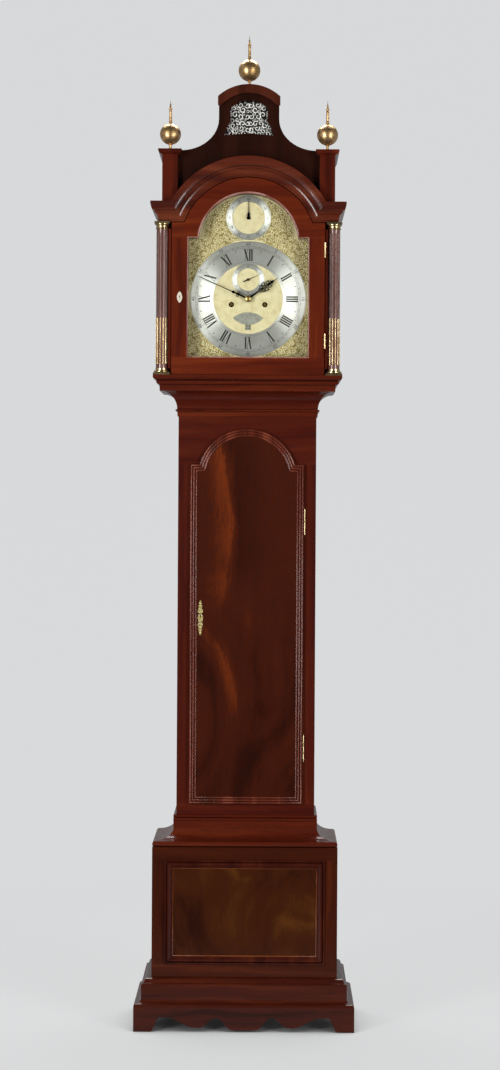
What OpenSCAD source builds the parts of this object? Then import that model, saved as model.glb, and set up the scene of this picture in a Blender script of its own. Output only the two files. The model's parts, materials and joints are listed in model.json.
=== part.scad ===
// Longcase clock with a bell-topped hood, an arched dial and an eight-day
// weight-driven movement. Millimetres, +Z up, the front faces -Y. The origin is
// the middle of the footprint at floor level.

/* [Plinth] */
// How far the lower skirt board stands out from the base
skirt_p = 42; // [32:1:60]
// Height of the lower skirt board, its moulding included
skirt_h = 74; // [70:1:90]
// Height of the upper skirt board, its moulding included
upper_skirt_h = 53; // [45:1:70]
// How far the lower board stands in front of the upper one
skirt_step = 18; // [12:1:22]
// Height of the curved cut under the skirt
apron_h = 35; // [20:1:40]
// Width of each bracket foot
foot_w = 41; // [30:1:60]
// Height left under the low turns of that cut
apron_low = 10; // [6:1:14]

/* [Base] */
// Width of the base box
base_w = 456; // [440:1:470]
// Height of the base box
base_h = 318; // [300:1:380]
// Thickness of the base boards
base_t = 14; // [10:1:18]
// Distance from the base edge to the panel moulding
panel_margin = 31; // [24:1:45]
// Width of the panel moulding
panel_mould_w = 20; // [14:1:26]
// How far the panel moulding stands proud
panel_mould_h = 9; // [5:1:12]

/* [Trunk] */
// Width of the trunk
trunk_w = 342; // [336:1:360]
// Depth of the trunk from its face to its back
trunk_d = 190; // [185:1:200]
// Thickness of the trunk sides and front
trunk_t = 14; // [10:1:18]
// Thickness of the back board
back_t = 14; // [10:1:18]
// Thickness of the base side that is left beside the back board
back_edge = 5; // [4:0.5:8]
// Height of the moulding between base and trunk
cove_h = 74; // [70:1:90]
// Height of the throat moulding under the hood
throat_h = 69; // [60:1:80]

/* [Trunk door] */
// Width of the door over its moulded edge
door_w = 282; // [270:1:296]
// Height of the door up to its shoulders
door_h = 842; // [760:1:860]
// Height of the trunk's front over the top of the door's arch
door_head = 31; // [24:1:45]
// Height of the plain rail under the door
door_sill = 27; // [20:1:40]
// Radius of the arched top
door_arch_r = 124; // [110:1:128]
// How far the centre of that arch lies under the shoulders
door_arch_drop = 36; // [25:1:40]
// Width of the reeded edge
door_edge_w = 19; // [15:1:24]
// How far the door board stands in front of the trunk
door_lip_t = 9; // [8:0.5:12]
// Height of a reed over the board
reed_h = 3; // [1.5:0.5:4]
// Overlap of the lip on the trunk face
door_overlap = 9; // [7:1:14]

/* [Hinges] */
// Height of the lower trunk hinge over the bottom of the door
trunk_hinge_low = 108; // [90:1:160]
// Height of the upper trunk hinge over the bottom of the door
trunk_hinge_high = 669; // [600:1:720]
// Length of the trunk hinges
trunk_hinge_len = 62; // [50:1:70]
// Height of the lock over the middle of the trunk door
trunk_lock_up = 40; // [20:1:90]
// Distance of the lock from the free edge of the trunk door
trunk_lock_in = 27; // [25:1:30]
// Height of the lower hood hinge over the bottom of the hood door
hood_hinge_low = 66; // [50:1:90]
// Height of the upper hood hinge over the bottom of the hood door
hood_hinge_high = 290; // [270:1:300]
// Length of the hood hinges
hood_hinge_len = 37; // [30:1:44]

/* [Hood] */
// Distance from the edge of the hood door to the outside of the hood
hood_side_in = 28.5; // [26:0.5:32]
// How far the throat moulding stays inside the hood's sides
throat_in = 0.5; // [0.2:0.1:1]
// Thickness of the hood sides
hood_t = 14; // [10:1:18]
// Depth of the hood from its front board to its back
hood_d = 220; // [215:1:235]
// Thickness of the front board behind the door
mask_t = 19; // [14:1:22]
// Height of the moulding at the bottom of the hood
hood_base_h = 31; // [26:1:40]
// How far that moulding stands in front of the sides at its top
hood_base_p = 16; // [14:1:20]
// Height from there to the underside of the cornice
cornice_from_base = 377; // [372:1:390]
// Height of the cornice
cornice_h = 49; // [40:1:56]
// How far the cornice stands out from the sides at its bottom
cornice_p0 = 5; // [3:0.5:8]
// How far the cornice stands out from the sides at its top
cornice_p1 = 24; // [20:1:30]
// Inner radius of the arched cornice
arch_r = 168.5; // [166:0.5:172]
// Depth of the arch centre under the straight cornice
arch_drop = 57; // [50:1:62]
// Height of the finial blocks
block_h = 115; // [100:1:130]
// Width of the finial blocks
block_w = 38; // [30:1:44]
// Height of the caps on the finial blocks
cap_h = 15; // [10:1:20]
// How far those caps stand out
cap_p = 10; // [6:1:12]

/* [Bell top] */
// Half width of the neck of the bell
bell_neck = 74.5; // [68:0.5:80]
// Height of the swept sides
bell_sweep = 78; // [70:1:90]
// Height of the neck above the sweep
bell_neck_h = 55; // [45:1:70]
// Radius of the arched top
bell_r = 112; // [100:1:130]
// Thickness of the bell's boards
bell_t = 12; // [8:1:16]
// Height of the moulding along the arched top
bell_rim = 20; // [14:1:24]
// How far that moulding stands out
bell_rim_p = 9; // [5:1:12]
// Half width of the pierced panel at its top
fret_top = 47; // [42:0.5:50]
// Half width of the pierced panel at its bottom
fret_bottom = 61.5; // [56:0.5:64]
// Height of the pierced panel at its sides
fret_h = 69; // [60:1:72]
// Height of the panel's bottom over the caps
fret_rise = 37; // [32:1:42]

/* [Finials] */
// Diameter of the balls
ball_d = 53; // [40:1:60]
// Height of the neck under a ball
finial_neck_h = 13; // [9:0.5:18]
// Height of the spire over a ball
spire_h = 58; // [45:1:70]

/* [Columns] */
// Distance of each column's middle inside the side of the hood
column_in = 5; // [4:0.5:6]
// Diameter of the columns
column_d = 29; // [26:0.5:31]
// Side of the square base plates
column_base_w = 41.5; // [38:0.5:42]
// Height of a brass base
column_base_h = 16; // [12:1:20]
// Height of a brass capital
capital_h = 18; // [14:1:22]
// Side of the square top of a capital
abacus_w = 38; // [34:0.5:40]
// Height of the brass rods in the flutes
stringing_h = 114; // [90:1:140]
// Number of flutes round a column
flutes = 12; // [10:1:16]
// Diameter of a flute
flute_d = 3.6; // [2.8:0.1:4.2]

/* [Hood door] */
// Width of the hood door
hood_door_w = 377; // [372:1:378]
// Thickness of the hood door
hood_door_t = 22; // [18:1:24]
// Width of its glass opening
sight_w = 296; // [290:1:300]
// Width of its bottom rail
sight_sill = 44; // [36:1:50]
// Height of the glass opening at its sides
sight_h = 293; // [285:1:296]
// Radius of the arch of the opening
sight_r = 123; // [118:1:126]
// Depth of that arch's centre under its shoulders
sight_drop = 14; // [10:1:20]
// Running gap round the door
door_gap = 2; // [1.5:0.1:3]
// Thickness of the glass
glass_t = 2; // [1.5:0.5:3]

/* [Dial] */
// Side of the square of the dial
dial_w = 305; // [300:1:308]
// Thickness of the dial plate
dial_t = 2.5; // [2:0.5:4]
// Outer diameter of the hour circle
chapter_d = 286; // [276:1:292]
// Width of the hour circle
chapter_w = 56.5; // [50:0.5:60]
// Thickness of the hour circle
chapter_t = 2; // [1.5:0.5:3]
// Outer diameter of the seconds circle
seconds_d = 80; // [70:1:82]
// Width of the seconds circle
seconds_w = 12; // [9:0.5:14]
// Outer diameter of the circle in the arch
arch_ring_d = 111; // [100:1:114]
// Width of the circle in the arch
arch_ring_w = 15.5; // [12:0.5:18]
// Height of the arch circle's centre over the dial centre
arch_ring_up = 201; // [196:1:204]
// Distance of the seconds hand over the dial centre
seconds_up = 48; // [46:1:50]
// Distance of the winding squares from the middle
wind_x = 41.5; // [41:0.5:44]
// Distance of the winding squares under the dial centre
wind_down = 14; // [12:0.5:16]
// Diameter of the winding holes
wind_d = 12; // [10:0.5:13]
// Side of the date window
date_w = 14; // [12:0.5:15]
// Distance of the date window under the dial centre
date_down = 70; // [69:0.5:72]

/* [Hands] */
// Length of the minute hand
minute_len = 135; // [125:1:138]
// Length of the hour hand
hour_len = 88.5; // [80:0.5:95]
// Length of the seconds hand
seconds_len = 33; // [28:0.5:36]
// Length of the hand in the arch
arch_hand_len = 42; // [36:0.5:48]
// Thickness of the hands
hand_t = 1.2; // [0.8:0.1:1.6]
// Minute that the minute hand shows
show_minute = 49; // [0:1:59]
// Hour that the hour hand has passed
show_hour = 1; // [0:1:11]
// Second that the seconds hand shows
show_second = 11; // [0:1:59]

/* [Movement] */
// Width of the movement plates
plate_w = 172; // [165:1:180]
// Height of the movement plates
plate_h = 192; // [188:1:200]
// Thickness of the movement plates
plate_t = 3; // [2.5:0.5:4]
// Distance between the plates
plate_gap = 62; // [58:1:66]
// Distance from the dial to the front plate
dial_gap = 27.5; // [26:0.5:32]
// How far the plates reach over the dial centre
plate_up = 92; // [90:1:96]
// Diameter of the winding drums
drum_d = 44; // [38:1:46]
// Diameter of the gut lines
gut_d = 1.6; // [1.2:0.1:2]
// Diameter of the wheel arbors
arbor_d = 4; // [3:0.5:5]
// Thickness of the wheels
wheel_t = 2; // [1.5:0.5:2.5]
// Thickness of the seat board
seat_t = 22; // [18:1:26]

/* [Pendulum and weights] */
// Distance from the suspension to the middle of the bob
pendulum_len = 994; // [900:1:1000]
// Diameter of the bob
bob_d = 178; // [150:1:190]
// Thickness of the bob
bob_t = 34; // [26:1:36]
// Diameter of the pendulum rod
rod_d = 5; // [4:0.5:7]
// Diameter of the weights
weight_d = 70; // [60:1:74]
// Height of the weights
weight_h = 220; // [180:1:240]
// Height of the pulley centres over the foot of the trunk, weights down
weight_hang = 41; // [20:1:60]
// Thickness of the pulleys
pulley_t = 10; // [8:1:14]

/* [Hidden] */
$fn = 48;
// gap between faces that meet, clearance of turning parts, radial running fit
face_gap = 0.3;
fit = 0.05;
big = 1000;

// levels, from the floor up
plinth_top = skirt_h + upper_skirt_h;
base_top = plinth_top + base_h;
trunk_z = base_top + cove_h;
trunk_h = door_sill + door_h - door_arch_drop + door_arch_r + door_head;
trunk_top = trunk_z + trunk_h;
hood_z = trunk_top + throat_h;
column_z = hood_z + hood_base_h;
pulley_low = trunk_z + weight_hang;
cornice_z = column_z + cornice_from_base;
cornice_top = cornice_z + cornice_h;
cap_z = cornice_top + block_h;
cap_top = cap_z + cap_h;
arch_z = cornice_z - arch_drop;

// depths, from the back plane forwards
base_side = (base_w - trunk_w) / 2;
hood_w = hood_door_w + 2 * hood_side_in;
throat_p = (hood_w - trunk_w) / 2 - throat_in;
skirt_w = base_w + 2 * skirt_p;
depth = trunk_d + base_side + skirt_p;
back_y = depth / 2;
trunk_y = back_y - trunk_d;
base_y = trunk_y - base_side;
inner_back = back_y - back_t;
hood_y = back_y - hood_d;
hood_front = hood_y - hood_door_t - door_gap / 4;
base_mould_y = hood_front - 9;
column_y = base_mould_y + column_base_w / 2;
column_x = hood_w / 2 - column_in;
mask_back = hood_y + mask_t;

// dial and movement
sight_z = column_z + door_gap / 2 + sight_sill;
sight_top = sight_z + sight_h;
dial_z = sight_z + sight_w / 2 - 2;
dial_y = mask_back + 6;
front_plate_y = dial_y + dial_gap;
back_plate_y = front_plate_y + plate_t + plate_gap;
plate_z = dial_z + plate_up - plate_h;
seat_top = plate_z;
drum_front = front_plate_y + plate_t + 11.4;
drum_len = 32;
drum_y = drum_front + drum_len / 2;
wind_z = dial_z - wind_down;
pitch_r = (drum_d + gut_d) / 2;
swing_y = back_plate_y + plate_t + 30;
third_x = 18;
third_z = dial_z + 24;
escape_z = dial_z + seconds_up;
anchor_z = escape_z + 32;
bob_z = anchor_z - pendulum_len;
motion_down = 28;

// distances of the arbors, from which the modules of the wheels follow
great_dist = sqrt(wind_x * wind_x + wind_down * wind_down);
centre_dist = sqrt(third_x * third_x + pow(third_z - dial_z, 2));
third_dist = sqrt(third_x * third_x + pow(escape_z - third_z, 2));
great_n = 96;
centre_n = 60;
third_n = 56;
pinion_n = 8;
escape_pinion_n = 7;
cannon_n = 36;
hour_n = 72;
hour_pinion_n = 6;
escape_n = 30;

// hinge axes: trunk door and hood door
pin_x = door_w / 2 + 1.5;
knuckle_r = 3;
pin_y = trunk_y - knuckle_r - face_gap;
door_z = trunk_z + door_sill;
trunk_hinges_z = [door_z + trunk_hinge_low, door_z + trunk_hinge_high];
trunk_lock_x = trunk_lock_in - door_w / 2;
trunk_lock_z = door_z + door_h / 2 + trunk_lock_up;
hood_pin_x = hood_door_w / 2 + 0.9;
hood_knuckle_r = 2.5;
hood_pin_y = hood_front - 1;
hood_hinges_z = [column_z + hood_hinge_low, column_z + hood_hinge_high];

// colours
wood_dark = "saddlebrown";
wood_red = "sienna";
brass = "goldenrod";
steel = "slategray";
silvered = "gainsboro";

// Draws a flat outline in the plane of the front; y is its back face
module plate_at(y, t) { translate([0, y, 0]) rotate([90, 0, 0]) linear_extrude(t) children(); }

// A box from its middle in x, its front face in y and its bottom in z
module board(x, y, z, w, d, h) { translate([x - w / 2, y, z]) cube([w, d, h]); }

// A solid whose plan at each level is a rectangle that stands out by the profile
// [stand-out, height]: mitred at both front corners and flush at the back
module mitred(w, front, back, z, prof) {
    low = prof[0][1];
    high = prof[len(prof) - 1][1];
    intersection() {
        translate([0, 0, z]) rotate([90, 0, 0]) linear_extrude(big * 2, center = true)
            polygon(concat([[0, low]], [for (p = prof) [w / 2 + p[0], p[1]]], [[0, high]],
                [for (i = [len(prof) - 1 : -1 : 0]) [-w / 2 - prof[i][0], prof[i][1]]]));
        translate([0, 0, z]) rotate([90, 0, 90]) linear_extrude(big * 2, center = true)
            polygon(concat([for (p = prof) [front - p[0], p[1]]], [[back, high], [back, low]]));
    }
}

// Quarter-round steps from one point of a profile to the next, hollow or full
function hollow(a, b, n) = [for (i = [0 : n]) let (t = 90 * i / n)
    [a[0] + (b[0] - a[0]) * (1 - cos(t)), a[1] + (b[1] - a[1]) * sin(t)]];
function full(a, b, n) = [for (i = [0 : n]) let (t = 90 * i / n)
    [a[0] + (b[0] - a[0]) * sin(t), a[1] + (b[1] - a[1]) * (1 - cos(t))]];
// A bead between two levels that stands out from p0
function bead(p0, r, z0, z1, n) = [for (i = [0 : n]) let (t = 180 * i / n)
    [p0 + r * sin(t), z0 + (z1 - z0) * (1 - cos(t)) / 2]];

// Outline with an arch on shoulders; inset draws the same outline smaller all round
module arched(w, z, shoulder, r, centre, inset = 0) {
    translate([inset - w / 2, z + inset]) square([w - 2 * inset, shoulder - z - 2 * inset]);
    intersection() {
        translate([0, centre]) circle(r - inset, $fn = 96);
        translate([-r, z + inset]) square([2 * r, big]);
    }
}

// Clock teeth, slim enough to run free: n teeth of module m
function tooth(n, m, add, ded, tip, root) = [for (i = [0 : n - 1], s = [
    [-ded, -root], [0, -(root + tip) * 0.54], [add, -tip],
    [add, tip], [0, (root + tip) * 0.54], [-ded, root]])
    let (r = n * m / 2 + s[0] * m, a = (i + s[1] / 2) * 360 / n) [r * cos(a), r * sin(a)]];
module wheel_shape(n, m) { polygon(tooth(n, m, 0.8, 1, 0.16, 0.44)); }
module pinion_shape(n, m) { polygon(tooth(n, m, 0.55, 1.25, 0.14, 0.34)); }

// Turn of wheel b so that it meshes with wheel a, seen from the front
function mesh_turn(dir, turn_a, na, nb) = dir + 180 + 180 / nb - (turn_a - dir) * na / nb;

// A crossed-out wheel: rim, hub and spokes
module crossed(n, m, y, t, spokes, hub) {
    r = n * m / 2;
    plate_at(y, t) {
        difference() { wheel_shape(n, m); circle(r - 4.5 * m); }
        circle(hub);
        for (i = [0 : spokes - 1]) rotate(i * 360 / spokes)
            translate([hub / 2, -hub / 5]) square([r - 3.5 * m - hub / 2, hub / 2.5]);
    }
}

// A round bar from front to back
module arbor(d, y0, y1) { translate([0, y0, 0]) rotate([-90, 0, 0]) cylinder(d = d, h = y1 - y0); }

skirt_profile = concat([[0, 0], [0, skirt_h - 16]], hollow([0, skirt_h - 14], [-4, skirt_h - 8], 4),
    full([-6, skirt_h - 7], [-skirt_step + 2, skirt_h], 4));

module plinth_skirt() {
    upper = skirt_p - skirt_step;
    color(wood_dark) difference() {
        union() {
            mitred(skirt_w, back_y - trunk_d - base_side - skirt_p, back_y, 0, skirt_profile);
            mitred(skirt_w - 2 * skirt_step, base_y - upper, back_y, skirt_h,
                concat([[0, 0], [0, upper_skirt_h - 16]],
                    full([-1, upper_skirt_h - 14], [-8, upper_skirt_h - 6], 4),
                    hollow([-9, upper_skirt_h - 5], [2 - upper, upper_skirt_h], 4)));
        }
        board(0, base_y + base_t, -1, base_w - 2 * base_t, big, plinth_top + 2);
        board(0, base_y, skirt_h / 2, base_w, big, plinth_top);
        plate_at(base_y + base_t, big) apron_cut(skirt_w / 2);
        translate([0, back_y, 0]) rotate([0, 0, 90]) plate_at(big, 2 * big)
            apron_side(depth);
    }
}

// A soft S from one point to the next, level at both ends
function swing(a, b, n) = [for (i = [1 : n]) let (t = 180 * i / n)
    [a[0] + (b[0] - a[0]) * i / n, a[1] + (b[1] - a[1]) * (1 - cos(t)) / 2]];

// Where the front cut turns, as shares of half the way between the feet:
// high beside the foot, low at a lobe, high again and low in the middle
apron_turns = [0.9, 0.83, 0.515, 0.475, 0.297, 0.127];
module apron_cut(half) {
    a = half - foot_w;
    t = [for (share = apron_turns) a * share];
    high = apron_h;
    lobe = apron_low;
    drop = apron_low / 2;
    steps = 10;
    for (side = [0, 1]) mirror([side, 0]) polygon(concat([[a, -1], [a, 0]],
        swing([a, 0], [t[0], high], steps), [[t[1], high]], swing([t[1], high], [t[2], lobe], steps),
        [[t[3], lobe]], swing([t[3], lobe], [t[4], high], steps),
        swing([t[4], high], [t[5], drop], steps), [[0, drop], [0, -1]]));
}
module apron_side(long) {
    translate([-long + foot_w + 20, -1]) square([long - 2 * foot_w - 40, apron_h + 1]);
    for (x = [-long + foot_w + 20, -foot_w - 20])
        translate([x, 0]) scale([20 / apron_h, 1]) circle(apron_h);
}

module base_carcase() {
    color(wood_dark) difference() {
        board(0, base_y, skirt_h / 2, base_w, back_y - base_y, base_top - skirt_h / 2);
        board(0, base_y + base_t, plinth_top, base_w - 2 * base_t, big, base_h - base_t);
        board(0, trunk_y + trunk_t, plinth_top, trunk_w - 2 * trunk_t, big, big);
        board(0, base_y + base_t, 0, base_w - 2 * base_t, big, plinth_top - base_t);
        board(0, inner_back, plinth_top - base_t, base_w - 2 * back_edge, back_t + 1, base_h);
    }
}

module base_panel_moulding() {
    w = base_w - 2 * panel_margin;
    h = base_h - 2 * panel_margin;
    m = panel_mould_w;
    color(wood_red) for (side = [0 : 3]) {
        long = side % 2 == 0 ? w : h;
        translate([0, base_y, plinth_top + base_h / 2]) rotate([0, side * 90, 0])
            translate([0, 0, -(side % 2 == 0 ? h : w) / 2]) intersection() {
            rotate([90, 0, 90]) linear_extrude(long, center = true)
                polygon([[0, 0], [-4, 0], [-6, 1], [-6, 3.5], [-4, 5], [-panel_mould_h, 8],
                    [-panel_mould_h, 11], [-5, m - 4], [-5.5, m - 3.5], [-5.5, m - 1], [-4, m], [0, m]]);
            rotate([90, 0, 0]) linear_extrude(4 * m, center = true)
                polygon([[-long / 2, 0], [long / 2, 0], [long / 2 - m, m], [m - long / 2, m]]);
        }
    }
}

// From the base top the moulding runs in to the trunk: bead, hollow, fillet, two beads
module base_cove_moulding() {
    f = 7;
    color(wood_dark) difference() {
        mitred(trunk_w, trunk_y, back_y, base_top, concat(
            bead(base_side - 6, 6, 0, 14, 6), [[base_side - 9, 14]],
            [for (i = [0 : 8]) let (t = 90 * i / 8)
                [base_side - 9 - (base_side - 9 - f) * sin(t), 14 + 26 * (1 - cos(t))]],
            [[f, cove_h - 16]], bead(f - 1.5, 2, cove_h - 16, cove_h - 8, 5),
            bead(f - 3, 3.5, cove_h - 8, cove_h, 5)));
        board(0, trunk_y, base_top - 1, trunk_w, big, cove_h + 2);
    }
}

module trunk_carcase() {
    cheek_top = seat_top - seat_t;
    color(wood_dark) difference() {
        board(0, trunk_y, base_top, trunk_w, trunk_d, hood_z - 6 - base_top);
        board(0, trunk_y + trunk_t, base_top - 1, trunk_w - 2 * trunk_t, big, 2 * big);
        plate_at(trunk_y + trunk_t + 1, big) door_shape(door_overlap);
        for (z = trunk_hinges_z) translate([pin_x, pin_y, z - 1])
            cylinder(r = knuckle_r + face_gap, h = trunk_hinge_len + 2);
        for (z = trunk_hinges_z)
            board(pin_x - 6.8, trunk_y - 1, z - 0.1, 17, 1 + hinge_leaf_t, trunk_hinge_len + 0.2);
    }
    color(wood_dark) for (s = [-1, 1])
        board(s * (trunk_w - trunk_t) / 2, trunk_y + 30, hood_z - 6, trunk_t, trunk_d - 30 - back_t,
            cheek_top - hood_z + 6);
}

module door_shape(inset) {
    arched(door_w, door_z, door_z + door_h, door_arch_r, door_z + door_h - door_arch_drop, inset);
}

module backboard() {
    color(wood_dark) {
        board(0, inner_back, plinth_top - base_t, base_w - 2 * back_edge, back_t, base_h);
        board(0, inner_back, plinth_top + base_h - base_t, trunk_w - 2 * trunk_t, back_t,
            hood_z - base_top + base_t);
        board(0, inner_back, hood_z, hood_w - 2 * hood_t - 2, back_t, cornice_z - hood_z - 20);
    }
}

module throat_moulding() {
    color(wood_dark) difference() {
        mitred(trunk_w, trunk_y, back_y, trunk_top, concat(
            [[3, 0], [3, 12]], bead(5, 3, 12, 17, 4), [[3.5, 17]],
            [for (i = [0 : 8]) let (t = 90 * i / 8) [3.5 + (throat_p - 6) * (1 - cos(t)), 17 + (throat_h - 25) * sin(t)]],
            [[throat_p, throat_h - 8], [throat_p, throat_h]]));
        board(0, trunk_y, trunk_top - 1, trunk_w, big, throat_h + 2);
    }
}

module seatboard() {
    color(wood_dark) difference() {
        board(0, trunk_y + 30, seat_top - seat_t, trunk_w, back_plate_y + plate_t + 14 - trunk_y - 30, seat_t);
        for (x = [-wind_x, wind_x], s = [-1, 1])
            translate([x + s * pitch_r, drum_y, seat_top - seat_t - 1]) cylinder(d = 6, h = seat_t + 2);
    }
}

hinge_leaf_t = 1.2;
pin_r = 1.2;
lip_back = trunk_y - 2 * face_gap;

// Knuckles along z: fixed ones at both ends, a turning one between them
module knuckles(r, bore, len, turning) {
    third = len / 3;
    for (k = turning ? [1] : [0, 2]) difference() {
        translate([0, 0, k * third + (turning ? 0.1 : 0)]) cylinder(r = r, h = third - (turning ? 0.2 : 0));
        translate([0, 0, -1]) cylinder(r = bore, h = len + 2);
    }
}

module trunk_hinges() {
    third = trunk_hinge_len / 3;
    color(brass) for (z = trunk_hinges_z) translate([0, 0, z]) {
        difference() {
            union() {
                translate([pin_x, pin_y, 0]) knuckles(knuckle_r, pin_r - 0.1, trunk_hinge_len, false);
                for (k = [0, 2]) board(pin_x + 0.3, pin_y, k * third, 1.8,
                    knuckle_r + face_gap + hinge_leaf_t, third);
                board(pin_x - 6.3, trunk_y, 0, 15, hinge_leaf_t, trunk_hinge_len);
            }
            translate([pin_x, pin_y, -1]) cylinder(r = pin_r - 0.1, h = trunk_hinge_len + 2);
        }
        translate([pin_x, pin_y, 0]) {
            cylinder(r = pin_r, h = trunk_hinge_len);
            for (s = [0, 1]) translate([0, 0, s * trunk_hinge_len]) mirror([0, 0, 1 - s])
                rotate_extrude() polygon([[0, 0], [2.2, 0], [2.6, 1], [1.2, 1.8], [2.3, 3], [1.6, 4.2], [0, 4.6]]);
        }
    }
}

// What the hinges need free in the door and its edge
module hinge_room() {
    for (z = trunk_hinges_z) {
        translate([pin_x, pin_y, z - 6]) cylinder(r = knuckle_r + face_gap, h = trunk_hinge_len + 12);
        board(pin_x - 8.5, lip_back - hinge_leaf_t, z - 0.05, 17, 9, trunk_hinge_len + 0.1);
    }
}

module trunk_door() {
    color(wood_dark) difference() {
        union() {
            plate_at(lip_back, door_lip_t) door_shape(0);
            plate_at(trunk_y + 6, 7) door_shape(door_overlap + 1);
        }
        hinge_room();
        translate([trunk_lock_x, trunk_y, trunk_lock_z + 6]) rotate([90, 0, 0])
            cylinder(d = 5, h = 60, center = true);
    }
}

// Three reeds side by side round the door
module trunk_door_moulding() {
    pitch = door_edge_w / 3;
    color(wood_red) difference() {
        for (i = [0 : 2]) {
            plate_at(lip_back - door_lip_t, reed_h - 1) difference() {
                door_shape(i * pitch + 0.4);
                door_shape((i + 1) * pitch - 0.4);
            }
            plate_at(lip_back - door_lip_t - reed_h + 1, 1) difference() {
                door_shape(i * pitch + 1.6);
                door_shape((i + 1) * pitch - 1.6);
            }
        }
        hinge_room();
    }
    color(wood_red) difference() {
        plate_at(lip_back - door_lip_t, 0.5) difference() { door_shape(0.4); door_shape(door_edge_w - 0.4); }
        hinge_room();
    }
}

module trunk_door_leaves() {
    third = trunk_hinge_len / 3;
    color(brass) for (z = trunk_hinges_z) translate([0, 0, z]) difference() {
        union() {
            translate([pin_x, pin_y, 0]) knuckles(knuckle_r, pin_r + fit, trunk_hinge_len, true);
            board(pin_x - 10.25, lip_back - hinge_leaf_t, 0, 12.5, hinge_leaf_t, trunk_hinge_len);
            board(pin_x - 6, lip_back - hinge_leaf_t, third + 0.1, 11, hinge_leaf_t, third - 0.2);
        }
        translate([pin_x, pin_y, -1]) cylinder(r = pin_r + fit, h = trunk_hinge_len + 2);
    }
}

// Pierced plate on the face, and the lock case behind it with its bolt
module trunk_lock() {
    color(brass) plate_at(lip_back - door_lip_t, 1.6) translate([trunk_lock_x, trunk_lock_z]) difference() {
        union() {
            for (s = [0, 1]) mirror([0, s]) {
                translate([0, 17]) circle(6.5);
                translate([0, 28]) circle(4.6);
                translate([0, 36]) circle(3.4);
                translate([-2, 0]) square([4, 42]);
                polygon([[-2.4, 38], [2.4, 38], [0, 44]]);
            }
            circle(6.8);
        }
        for (s = [0, 1]) mirror([0, s]) for (m = [-1, 1]) {
            translate([m * 3.2, 17]) circle(1.6);
            translate([m * 2.6, 28]) circle(1);
        }
        translate([0, 6]) circle(1.9);
        translate([-0.9, -1]) square([1.8, 6]);
    }
    color(brass) {
        board(trunk_lock_x + 2, trunk_y + 6, trunk_lock_z - 26, 34, 12, 52);
        board(trunk_lock_x - 11, trunk_y + 10, trunk_lock_z - 8, 8.8, 4, 16);
    }
}

yf = base_mould_y + hood_base_p - 3;
block_x = hood_w / 2 - block_w / 2 - 4;
upper_w = 2 * block_x + block_w;
jamb_x = hood_door_w / 2 + 1.8;
jamb_w = column_x - column_d / 2 - 1.4 - jamb_x;

module hood_base_moulding() {
    h = hood_base_h;
    p = hood_base_p;
    color(wood_dark) difference() {
        mitred(hood_w, base_mould_y + p, back_y, hood_z, concat([[0, face_gap]],
            [[0, 7], [2, 8]], full([3, 8], [8, 15], 4), [[8, 16], [6.5, 16.5], [6.5, 18]],
            hollow([p - 4, h - 12], [p - 4.5, h - 11], 1), [[p - 3, h - 10]],
            full([p - 2, h - 9], [p, h - 5], 3), [[p, h]]));
        board(0, mask_back, hood_z - 1, hood_w - 2 * hood_t, big, h + 2);
    }
}

module hood_frame() {
    notch = column_base_w / 2;
    color(wood_red) difference() {
        union() {
            difference() {
                union() {
                    for (s = [-1, 1])
                        board(s * (hood_w - hood_t) / 2, hood_y, column_z, hood_t, hood_d, cornice_top - column_z);
                    board(0, hood_y, column_z, hood_w, mask_t, cornice_top - column_z);
                }
                for (s = [-1, 1]) board(s * (column_x - notch + hood_w / 2), column_y - notch, column_z - 1,
                    hood_w, column_base_w, cornice_from_base + 1);
            }
            for (s = [-1, 1]) {
                board(s * (upper_w - hood_t) / 2, hood_y, cornice_top, hood_t, hood_d, block_h);
                board(s * (jamb_x + jamb_w / 2), hood_front + 3, column_z + column_base_h, jamb_w,
                    column_y + notch - hood_front - 3, cornice_from_base - column_base_h - capital_h);
            }
            board(0, hood_y, cornice_top, upper_w, mask_t, block_h);
        }
        plate_at(mask_back + 1, mask_t + 2) sight(-1.5);
        for (z = hood_hinges_z) {
            translate([hood_pin_x, hood_pin_y, z - 0.1]) cylinder(r = hood_knuckle_r + face_gap, h = hood_hinge_len + 0.2);
            board(hood_pin_x + 1.5, hood_pin_y, z - 0.05, 1.3, 16.6, hood_hinge_len + 0.1);
        }
    }
}

module sight(inset) { arched(sight_w, sight_z, sight_top, sight_r, sight_top - sight_drop, inset); }

cornice_profile = let (a = cornice_p0, b = cornice_p1, h = cornice_h) concat(
    [[a, 0], [a, 5]], hollow([a + 1, 5], [a + 1, 6], 1),
    [for (i = [0 : 6]) let (t = 15 * i) [a + 1 + (b - a) * 0.4 * (1 - cos(t)), 6 + 15 * sin(t)]],
    [[a + (b - a) * 0.5, 21], [a + (b - a) * 0.5, h - 22]],
    full([a + (b - a) * 0.56, h - 22], [b - 1, h - 8], 5), [[b, h - 7], [b, h]]);

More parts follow.
